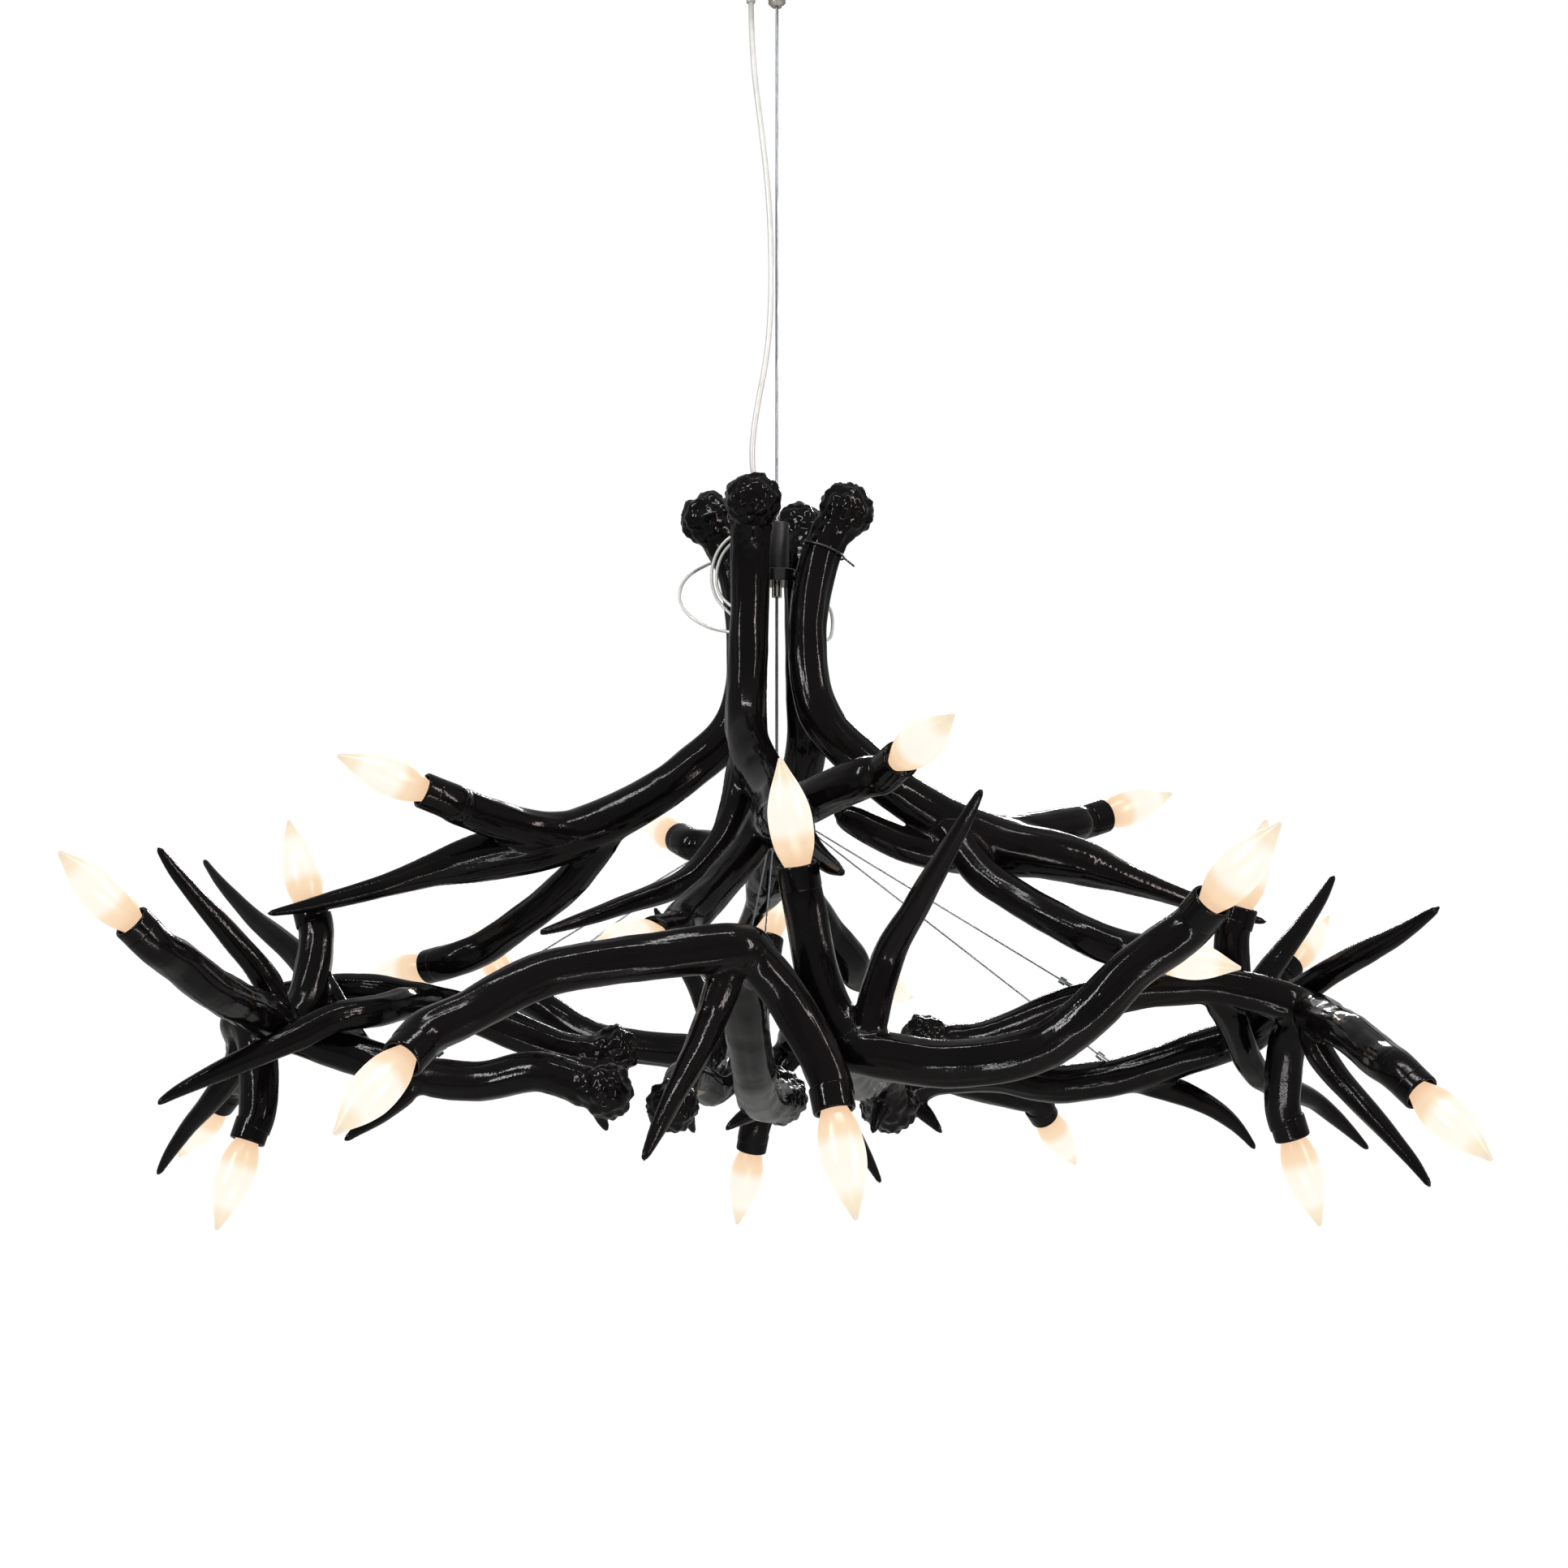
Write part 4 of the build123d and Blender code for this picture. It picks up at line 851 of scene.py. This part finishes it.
@dataclass
class Antler:
    """One cast antler: its limbs are joined to one skin, eased at the forks and given relief.

    Its lengths are in millimetres.
    """

    node: str
    limbs: list[Limb]
    voxel: float = 2.1

    QUICK_VOXEL = 4.5
    EASE_ROUNDS = 14
    EASE_STEP = 0.5
    EASE_RADIUS = 8.0        # thinner limbs are eased less
    LEAST_EASE = 0.15
    FLUTED_RADIUS = 12.0     # thinner limbs are fluted less
    FORK_SPAN = 9.0          # how far from a fork the grain fades
    LOOSE_GAP = 4.0          # skin that is farther off than this from every limb has no grain
    BURR_SPAN = 70.0         # how far the pearls reach along the beam
    BURR_FADE = 1.3
    ROOT_FADE, TIP_FADE = 12.0, 4.0          # where a limb's ends keep their eased shape
    MOUTH_PLAIN, MOUTH_FADE = 16.0, 20.0     # a tube's smooth end, and the fade behind it
    GRAIN_ROUND = 16.0       # the radius of the circle that the grain's place goes round on
    GRAIN_STRETCH = 12.0     # how much the grain is drawn out along a limb
    GRAIN_SHIFT = 40.0       # from one limb's grain to the next one's
    BORE_MARGIN, WALL = 3.0, 2.5
    LIP_SIDES = 48
    MOUTH_LIP = ((14.6, -19.5), (15.5, -18.9), (15.7, -18.4), (15.72, -17.6), (15.66, -2.4),
                 (15.6, -1.4), (15.2, -0.5), (14.4, 0.0), (13.4, -0.3), (12.8, -1.2),
                 (12.6, -2.4), (12.6, -13.0))

    def build(self, relief: ReliefTree) -> bpy.types.Object:
        """Make the antler's piece.

        Args:
            relief: the tree that raises its flutes and pearls.

        Returns:
            The finished piece, riding on the fixture in place of its CAD node.
        """
        rough = bmesh.new()
        for limb in self.limbs:
            limb.skin(rough)
        bmesh.ops.recalc_face_normals(rough, faces=rough.faces)
        piece = new_piece(f"{self.node}_cast", rough)
        joined = piece.modifiers.new("join", "REMESH")
        joined.mode = "VOXEL"
        joined.voxel_size = self.voxel * MM
        joined.use_smooth_shade = True
        bake(piece)
        self._ease(piece.data)
        relief.apply(piece, ANTLER_GLAZE.build())
        self._add_lips(piece.data)
        piece.data.shade_smooth()
        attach(piece, FIXTURE)
        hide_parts(self.node)
        LOG.info("%s: %d faces", self.node, len(piece.data.polygons))
        return piece

    def _ease(self, mesh: bpy.types.Mesh) -> None:
        """Round the forks, draw the rest onto the limbs' surface and write the grain's place."""
        count = len(mesh.vertices)
        spots = np.empty(count * 3)
        mesh.vertices.foreach_get("co", spots)
        spots = spots.reshape(-1, 3) / MM
        edges = np.empty(len(mesh.edges) * 2, int)
        mesh.edges.foreach_get("vertices", edges)
        edges = edges.reshape(-1, 2)
        near = np.concatenate([edges[:, 0], edges[:, 1]])
        far = np.concatenate([edges[:, 1], edges[:, 0]])
        degree = np.bincount(near, minlength=count)
        best = self._nearest(spots)
        eased = spots.copy()
        thin = np.clip(best["radius"] / self.EASE_RADIUS, self.LEAST_EASE, 1.0)[:, None]
        for _ in range(self.EASE_ROUNDS):
            mean = np.stack([np.bincount(near, eased[far, k], count) / degree for k in range(3)], 1)
            eased += (mean - eased) * self.EASE_STEP * thin
        best = self._nearest(eased)
        snap = (best["clear"] * best["inside"])[:, None]
        eased += (best["surface"] - eased) * snap
        mesh.vertices.foreach_set("co", (eased * MM).ravel())
        mesh.update()
        ends = np.clip(best["radius"] / self.FLUTED_RADIUS, 0.0, 1.0) ** 2
        write_values(mesh, "fluting", best["clear"] * ends * best["from_mouth"])
        write_values(mesh, "pearling", best["burr"])
        layer = mesh.attributes.new(Coordinates.AROUND.value, "FLOAT_VECTOR", "POINT")
        layer.data.foreach_set("vector", (best["around"] * MM).astype(np.float32).ravel())

    def _nearest(self, spots: Array) -> dict[str, Array]:
        """Measure each point against the limb that it lies on.

        Args:
            spots: points in millimetres.

        Returns:
            By name: the limb's radius there, the nearest point of its surface, a mask that is 0
            at forks, masks for the limb's inner length, its mouth and its burr, and the grain's
            place.
        """
        count = len(spots)
        found = {name: np.zeros(count) for name in ("radius", "inside", "from_mouth", "burr")}
        found["surface"], found["around"] = spots.copy(), np.zeros((count, 3))
        gap, second = np.full(count, FAR), np.full(count, FAR)
        for number, limb in enumerate(self.limbs):
            own = limb.measured(spots)
            gone, left = own["gone"], own["left"]
            own["around"] = np.stack([own["across"] * self.GRAIN_ROUND,
                                      own["up"] * self.GRAIN_ROUND,
                                      gone / self.GRAIN_STRETCH + number * self.GRAIN_SHIFT], 1)
            own["inside"] = np.clip(gone / self.ROOT_FADE, 0, 1) \
                * np.clip(left / self.TIP_FADE, 0, 1)
            own["from_mouth"] = np.ones(count) if limb.mouth is None \
                else np.clip((left - self.MOUTH_PLAIN) / self.MOUTH_FADE, 0, 1)
            own["burr"] = np.zeros(count) if number \
                else np.clip(1 - gone / self.BURR_SPAN, 0, 1) ** self.BURR_FADE
            taken = own["gap"] < gap
            second = np.where(taken, gap, np.minimum(second, own["gap"]))
            gap = np.where(taken, own["gap"], gap)
            for name, values in found.items():
                values[taken] = own[name][taken]
        clear = np.clip((second - gap) / self.FORK_SPAN, 0, 1)
        clear *= clear * (3 - 2 * clear)
        clear[gap > self.LOOSE_GAP] = 0
        found["clear"] = clear
        for limb in self.limbs:
            if limb.mouth is not None:
                from_mouth = spots - limb.mouth
                high = from_mouth @ limb.way
                off = np.linalg.norm(from_mouth - high[:, None] * limb.way, axis=1)
                bored = (high > -BORE_DEPTH - self.BORE_MARGIN) \
                    & (off < TUBE_END_RADIUS - self.WALL)
                found["inside"][bored] = 0
        return found

    def _add_lips(self, mesh: bpy.types.Mesh) -> None:
        """Add the clean turned lip at each tube's mouth."""
        whole = bmesh.new()
        whole.from_mesh(mesh)
        first = len(whole.faces)
        for limb in self.limbs:
            if limb.mouth is not None:
                lathe(whole, list(self.MOUTH_LIP), limb.mouth, limb.way, self.LIP_SIDES,
                      closed=True)
        whole.faces.ensure_lookup_table()
        bmesh.ops.recalc_face_normals(whole, faces=whole.faces[first:])
        whole.to_mesh(mesh)
        whole.free()


@dataclass
class Lamp:
    """One lit flame lamp with its screw base, turned about its hinge's axis.

    The mouth is in metres, as its joint gives it, and the rest in millimetres.
    """

    node: str
    mouth: Point
    way: Point

    SIDES = 40
    THREAD = 2.5             # one turn of the screw base
    THREAD_DEPTH = 0.7
    THREAD_PLAY = 0.1        # between the thread's crests and the base's radius
    THREAD_START = 2.5       # from the foot
    THREAD_STOP = 4.0        # the plain run between foot and glass
    CONTACT = ((2.0, 0.0), (4.4, 1.2))       # the foot's outline: radius, height over the foot
    TIP_RADIUS = 0.4
    TIP_GAP = 0.05

    def build(self) -> bpy.types.Object:
        """Make the lamp's piece, riding on its own body in place of its CAD node."""
        origin, way = np.array(self.mouth) / MM, unit(self.way)
        shape = bmesh.new()
        lathe(shape, self._outline(), origin, way, self.SIDES, closed=False)
        bmesh.ops.recalc_face_normals(shape, faces=shape.faces)
        piece = new_piece(f"{self.node}_glass", shape)
        data = piece.data
        spots = np.array([v.co for v in data.vertices]) / MM
        write_values(data, Coordinates.HEIGHT.value,
                     np.clip(((spots - origin) @ way) / LAMP_LENGTH, 0, 1))
        data.materials.append(LAMP_LIGHT.build())
        data.materials.append(NICKEL.build())
        centres = np.array([f.center for f in data.polygons]) / MM
        metal = ((centres - origin) @ way) < LAMP_GLASS[0][1]
        data.polygons.foreach_set("material_index", metal.astype(np.int32))
        data.shade_smooth()
        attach(piece, self.node)
        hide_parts(self.node)
        return piece

    def _outline(self) -> list[tuple[float, float]]:
        """The base with its rolled thread, and the smooth flame-shaped glass."""
        outline = [(radius, LAMP_FOOT + high) for radius, high in self.CONTACT]
        turns = int((LAMP_GLASS[0][1] - LAMP_FOOT - self.THREAD_STOP) / self.THREAD)
        for i in range(turns * 2):
            crest = LAMP_BASE_RADIUS - (0.0 if i % 2 else self.THREAD_DEPTH)
            outline.append((crest - self.THREAD_PLAY,
                            LAMP_FOOT + self.THREAD_START + i * self.THREAD / 2))
        outline += [(max(self.TIP_RADIUS, float(r)), float(h))
                    for r, h in smoothed(np.array(LAMP_GLASS))]
        outline.append((self.TIP_RADIUS, LAMP_LENGTH - self.TIP_GAP))
        return outline


@dataclass
class Lead:
    """A free cord with its facts, drawn as one smooth curve through its route.

    The route is in millimetres, the length and diameter in metres.
    """

    node: str
    route: list[Point]
    length: float
    diameter: float
    stiffness: str
    slot: str = "clear_cord"
    finish: Finish = CLEAR_PVC

    def build(self) -> bpy.types.Object:
        curve = bpy.data.curves.new(f"{self.node}_line", "CURVE")
        curve.dimensions = "3D"
        spline = curve.splines.new("NURBS")
        spline.points.add(len(self.route) - 1)
        for point, (x, y, z) in zip(spline.points, self.route):
            point.co = (x * MM, y * MM, z * MM, 1.0)
        spline.order_u = 3
        spline.use_endpoint_u = True
        spline.resolution_u = 12
        curve.bevel_depth = self.diameter / 2
        curve.bevel_resolution = 5
        curve.use_fill_caps = True
        curve.materials.append(self.finish.build())
        piece = place(f"{self.node}_line", curve)
        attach(piece, FIXTURE)
        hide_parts(self.node)
        return piece


def islands(node: str) -> list[Array]:
    """The separate solids of a CAD node, each as its points in metres."""
    solid = bmesh.new()
    solid.from_mesh(frame["nodes"][node].data)
    bmesh.ops.remove_doubles(solid, verts=solid.verts, dist=TINY)
    left, found = set(solid.verts), []
    while left:
        stack, group = [left.pop()], []
        while stack:
            vert = stack.pop()
            group.append(tuple(vert.co))
            for edge in vert.link_edges:
                other = edge.other_vert(vert)
                if other in left:
                    left.remove(other)
                    stack.append(other)
        found.append(np.array(group))
    solid.free()
    return sorted(found, key=lambda points: tuple(np.round(points.mean(0), 4)))


def axis_of(points: Array) -> tuple[Array, Array]:
    """The two ends of a long straight solid's axis, in metres."""
    middle = points.mean(0)
    way = np.linalg.svd(points - middle, full_matrices=False)[2][0]
    along = (points - middle) @ way
    low = points[along < along.min() + END_BAND].mean(0)
    high = points[along > along.max() - END_BAND].mean(0)
    return low, high


class StrandTree(Recipe):
    """The node tree that lays twisted strands round straight lines."""

    STRANDS = 6
    STEPS = 6.0              # points in each turn of a strand
    LAY = 0.66               # how far out a strand's middle runs, in radii of the wire
    THICKNESS = 0.34         # a strand's radius, in radii of the wire
    SIDES = 6

    def __init__(self) -> None:
        """Build the tree."""
        super().__init__("laid_strands", ("Radius", "Pitch"))
        tree, given = self.tree, self.given
        lines = output(tree, "GeometryNodeMeshToCurve", {"Mesh": given["Geometry"]})
        step = self._maths("DIVIDE", given["Pitch"], self.STEPS)
        fine = output(tree, "GeometryNodeResampleCurve", {"Curve": lines, "Length": step},
                      mode="LENGTH")
        copies = add_node(tree, "GeometryNodeDuplicateElements",
                          {"Geometry": fine, "Amount": self.STRANDS}, domain="SPLINE").outputs
        done = add_node(tree, "GeometryNodeSplineParameter").outputs["Length"]
        turns = self._maths("DIVIDE", done, given["Pitch"])
        share = self._maths("DIVIDE", copies["Duplicate Index"], float(self.STRANDS))
        angle = self._maths("MULTIPLY", self._maths("ADD", turns, share), 2 * math.pi)
        normal = output(tree, "GeometryNodeInputNormal")
        tangent = output(tree, "GeometryNodeInputTangent")
        turned = output(tree, "ShaderNodeVectorRotate",
                        {"Vector": normal, "Axis": tangent, "Angle": angle},
                        rotation_type="AXIS_ANGLE")
        lay = self._maths("MULTIPLY", given["Radius"], self.LAY)
        offset = output(tree, "ShaderNodeVectorMath", {0: turned, "Scale": lay}, operation="SCALE")
        laid = output(tree, "GeometryNodeSetPosition",
                      {"Geometry": copies["Geometry"], "Offset": offset})
        thin = self._maths("MULTIPLY", given["Radius"], self.THICKNESS)
        profile = output(tree, "GeometryNodeCurvePrimitiveCircle",
                         {"Resolution": self.SIDES, "Radius": thin})
        self._end(output(tree, "GeometryNodeCurveToMesh",
                         {"Curve": laid, "Profile Curve": profile, "Fill Caps": True}))

    def lay(self, node: str, radius: float, pitch: float) -> bpy.types.Object:
        """Make stranded wire in place of a CAD node's straight rods.

        Args:
            node: the CAD node.
            radius: the wire's radius in millimetres.
            pitch: the length of one turn of its strands in millimetres.

        Returns:
            The finished piece, riding on the fixture.
        """
        lines = bmesh.new()
        for solid in islands(node):
            low, high = axis_of(solid)
            lines.edges.new((lines.verts.new(low), lines.verts.new(high)))
        piece = new_piece(f"{node}_strands", lines)
        self.run(piece, {"Radius": radius, "Pitch": pitch}, STEEL_WIRE.build())
        piece.data.shade_smooth()
        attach(piece, FIXTURE)
        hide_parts(node)
        LOG.info("%s: %d faces", node, len(piece.data.polygons))
        return piece


class Fittings:
    """The carried-over CAD nodes and the finish of each."""

    FINISHES = {"ceiling_canopy": SATIN_BLACK, "canopy_cap_nuts": SATIN_BLACK,
                "mounting_crossbar": ZINC, "canopy_studs": ZINC, "gripper_locknut": ZINC,
                "collar_studs": ZINC, "hanger_anchors": ZINC, "joining_screws": ZINC,
                "cable_gripper": NICKEL, "cable_ferrules": NICKEL,
                "cord_strain_relief": CLEAR_NYLON, "terminal_block": PHENOLIC,
                "lamp_sockets": PHENOLIC, "crown_collar": GLOSS_BLACK, "hanger_hub": GLOSS_BLACK,
                "splice_sleeve": SHRINK, "neck_tie_wire": TIE_WIRE}

    def dress(self) -> None:
        """Give each node its finish."""
        for name, finish in self.FINISHES.items():
            node = frame["nodes"][name]
            material = finish.build()
            for slot in node.material_slots:
                slot.material = material
            LOG.info("%s: %s", name, material.name)


STANCES = {
    "crown_antler_1": Stance(LEFT, CROWN_LEVEL),
    "crown_antler_2": Stance(FRONT, CROWN_LEVEL),
    "crown_antler_3": Stance(RIGHT, CROWN_LEVEL),
    "crown_antler_4": Stance(BACK, CROWN_LEVEL),
    "rising_antler_1": Stance(LEFT, RING_LEVEL),
    "rising_antler_2": Stance(FRONT, RING_LEVEL, 1.0, (-12, 0, 0)),
    "rising_antler_3": Stance(RIGHT, RING_LEVEL),
    "rising_antler_4": Stance(BACK, RING_LEVEL),
    "falling_antler_1": Stance(LEFT, RING_LEVEL, 2.0, (53, -20, 23), True),
    "falling_antler_2": Stance(FRONT, RING_LEVEL, -3.8, (31, 0, 0), True),
    "falling_antler_3": Stance(RIGHT, RING_LEVEL, 8.8, (45, -65, 20), True),
    "falling_antler_4": Stance(BACK, RING_LEVEL, -4.0, (45, 0, 34), True),
}
GROWTH: dict[str, Crown | Ring] = {
    "crown_antler_1": Crown(),
    "crown_antler_2": Crown((FRONT_SPUR,)),
    "crown_antler_3": Crown((RIGHT_KEEL,)),
    "crown_antler_4": Crown(),
    "rising_antler_1": Ring((145, 90, -70), RISING_BEAM,
                            (LEFT_HIGH_TINE, LEFT_LOW_TINE, LEFT_BROW_TINE)),
    "rising_antler_2": Ring(RING_BURR_SPOT, RISING_BEAM, (BROW_TINE,), sag=57, tine=(0, 6, 4),
                            arm=(0, 14, 0)),
    "rising_antler_3": Ring(RING_BURR_SPOT, RISING_BEAM,
                            (RIGHT_HIGH_TINE, RIGHT_LOW_TINE, BROW_TINE)),
    "rising_antler_4": Ring(RING_BURR_SPOT, RISING_BEAM, (BROW_TINE,), sag=20),
    "falling_antler_1": Ring(FALLING_BURR_SPOT, FALLING_BEAM, (LEFT_HANGING_TINE,),
                             tine=(2, 0, -8)),
    "falling_antler_2": Ring(STEEP_BURR_SPOT, STEEP_BEAM, (STEEP_BROW_TINE,), sag=14,
                             post=(10, -24, 0), tine=(0, -8, -6)),
    "falling_antler_3": Ring(FALLING_BURR_SPOT, FALLING_BEAM, (RIGHT_HANGING_TINE,)),
    "falling_antler_4": Ring(FALLING_BURR_SPOT, FALLING_BEAM, spread=35, post=(0, -8, 0),
                             tine=(0, 15, -4)),
}
LEADS = (
    Lead("power_cord", POWER_ROUTE, 0.532, 0.005, "medium"),
    Lead("left_lead_loop", LEFT_LOOP, 0.214, 0.0028, "medium"),
    Lead("front_lead_loop_1", FRONT_LOOP_1, 0.110, 0.0028, "medium"),
    Lead("front_lead_loop_2", FRONT_LOOP_2, 0.125, 0.0028, "medium"),
    Lead("right_lead_loop", RIGHT_LOOP, 0.075, 0.0028, "limp"),
)
# The stranded wires by node: radius, and length of one turn of the strands, in millimetres.
WIRES = {"suspension_cable": (1.5, 14.0), "hanger_wires": (0.8, 8.0)}


@dataclass
class Studio:
    """The camera at the photograph's angle, a pale floor and strip lights. Lengths in metres."""

    camera_spot: Point = (0.00648, -2.4814, -1.0747)
    camera_tilt: float = 97.0
    lens: float = 64.7
    ambient: float = 0.34
    gloss_share: float = 0.15        # how much of the white surround the gloss picks up
    floor_half: float = 25.0
    floor_glow: float = 1.11
    floor_white: float = 0.88        # how much of the glow hides the floor's shading

    AIM = (0.0, 0.0, -0.95)
    LIGHTS = (("key", (-1.7, -1.8, 0.1), (0.18, 1.3), 42.0, "#ffffff"),
              ("fill", (1.9, -1.6, -0.3), (0.12, 1.3), 34.0, "#fff0ee"),
              ("over", (0.2, -1.1, 1.0), (1.5, 0.1), 30.0, "#ffffff"),
              ("low", (0.3, -1.6, -1.95), (1.2, 0.05), 10.0, "#ffffff"),
              ("rear", (0.6, 2.2, 0.4), (1.3, 0.1), 26.0, "#ffffff"))

    def set_camera(self) -> None:
        """Make the camera that sees what the photograph shows."""
        data = bpy.data.cameras.new("photo_camera")
        data.lens, data.sensor_width = self.lens, 36.0
        data.clip_start, data.clip_end = 0.05, 100.0
        camera = place("photo_camera", data)
        camera.location = self.camera_spot
        camera.rotation_euler = (math.radians(self.camera_tilt), 0.0, 0.0)
        bpy.context.scene.camera = camera

    def _seen(self, tree: Tree) -> Socket:
        """1 for what the camera and clear pieces see, less for gloss, 0 for light on surfaces."""
        path = add_node(tree, "ShaderNodeLightPath").outputs
        gloss = maths(tree, "MULTIPLY", path["Is Glossy Ray"], self.gloss_share)
        first = maths(tree, "MAXIMUM", path["Is Camera Ray"], gloss)
        return maths(tree, "MAXIMUM", first, path["Is Transmission Ray"])

    def set_world(self) -> None:
        """White behind the object, and a softer even light on it."""
        world = bpy.data.worlds.new("studio")
        bpy.context.scene.world = world
        tree = empty_tree(world)
        strength = output(tree, "ShaderNodeMapRange",
                          {"Value": self._seen(tree), "To Min": self.ambient, "To Max": 1.0})
        shader = add_node(tree, "ShaderNodeBackground", {"Color": WHITE, "Strength": strength})
        add_node(tree, "ShaderNodeOutputWorld", {"Surface": shader.outputs[0]})

    def set_floor(self) -> None:
        """A wide pale floor that keeps the object's faint shadow."""
        half, low = self.floor_half, FLOOR_LEVEL * MM
        shape = bmesh.new()
        shape.faces.new([shape.verts.new((x * half, y * half, low))
                         for x, y in ((-1, -1), (1, -1), (1, 1), (-1, 1))])
        floor = new_piece("floor", shape)
        material = bpy.data.materials.new("matt_white_floor")
        tree = empty_tree(material)
        matt = output(tree, "ShaderNodeBsdfDiffuse", {"Color": linear("#c8c8c6")})
        glow = output(tree, "ShaderNodeEmission", {"Color": WHITE, "Strength": self.floor_glow})
        seen = output(tree, "ShaderNodeMapRange",
                      {"Value": self._seen(tree), "To Max": self.floor_white})
        shader = add_node(tree, "ShaderNodeMixShader", {0: seen, 1: matt, 2: glow})
        add_node(tree, "ShaderNodeOutputMaterial", {"Surface": shader.outputs[0]})
        floor.data.materials.append(material)

    def set_lights(self) -> None:
        """Long strip lights that draw the streaks along the glossy limbs."""
        for name, spot, size, power, code in self.LIGHTS:
            data = bpy.data.lights.new(name, "AREA")
            data.shape = "RECTANGLE"
            data.size, data.size_y = size
            data.energy = power
            data.color = linear(code)[:3]
            light = place(name, data)
            light.location = spot
            aim = Vector(self.AIM) - Vector(spot)
            light.rotation_euler = aim.to_track_quat("-Z", "Y").to_euler()


def main() -> None:
    """Build the studio, the cords and every piece of the chandelier in order."""
    logging.basicConfig(level=logging.INFO, format="%(message)s")
    bpy.context.scene.view_settings.view_transform = "Standard"
    studio = Studio()
    studio.set_camera()
    for lead in LEADS:
        lead.build()
    relief = ReliefTree()
    for name, growth in GROWTH.items():
        Antler(name, growth.limbs(STANCES[name])).build(relief)
    for joint in frame["joints"]:
        Lamp(joint["child"], tuple(joint["pos_m"]), tuple(joint["axis"])).build()
    strands = StrandTree()
    for node, (radius, pitch) in WIRES.items():
        strands.lay(node, radius, pitch)
    Fittings().dress()
    studio.set_world()
    studio.set_floor()
    studio.set_lights()


if __name__ == "__main__":
    main()
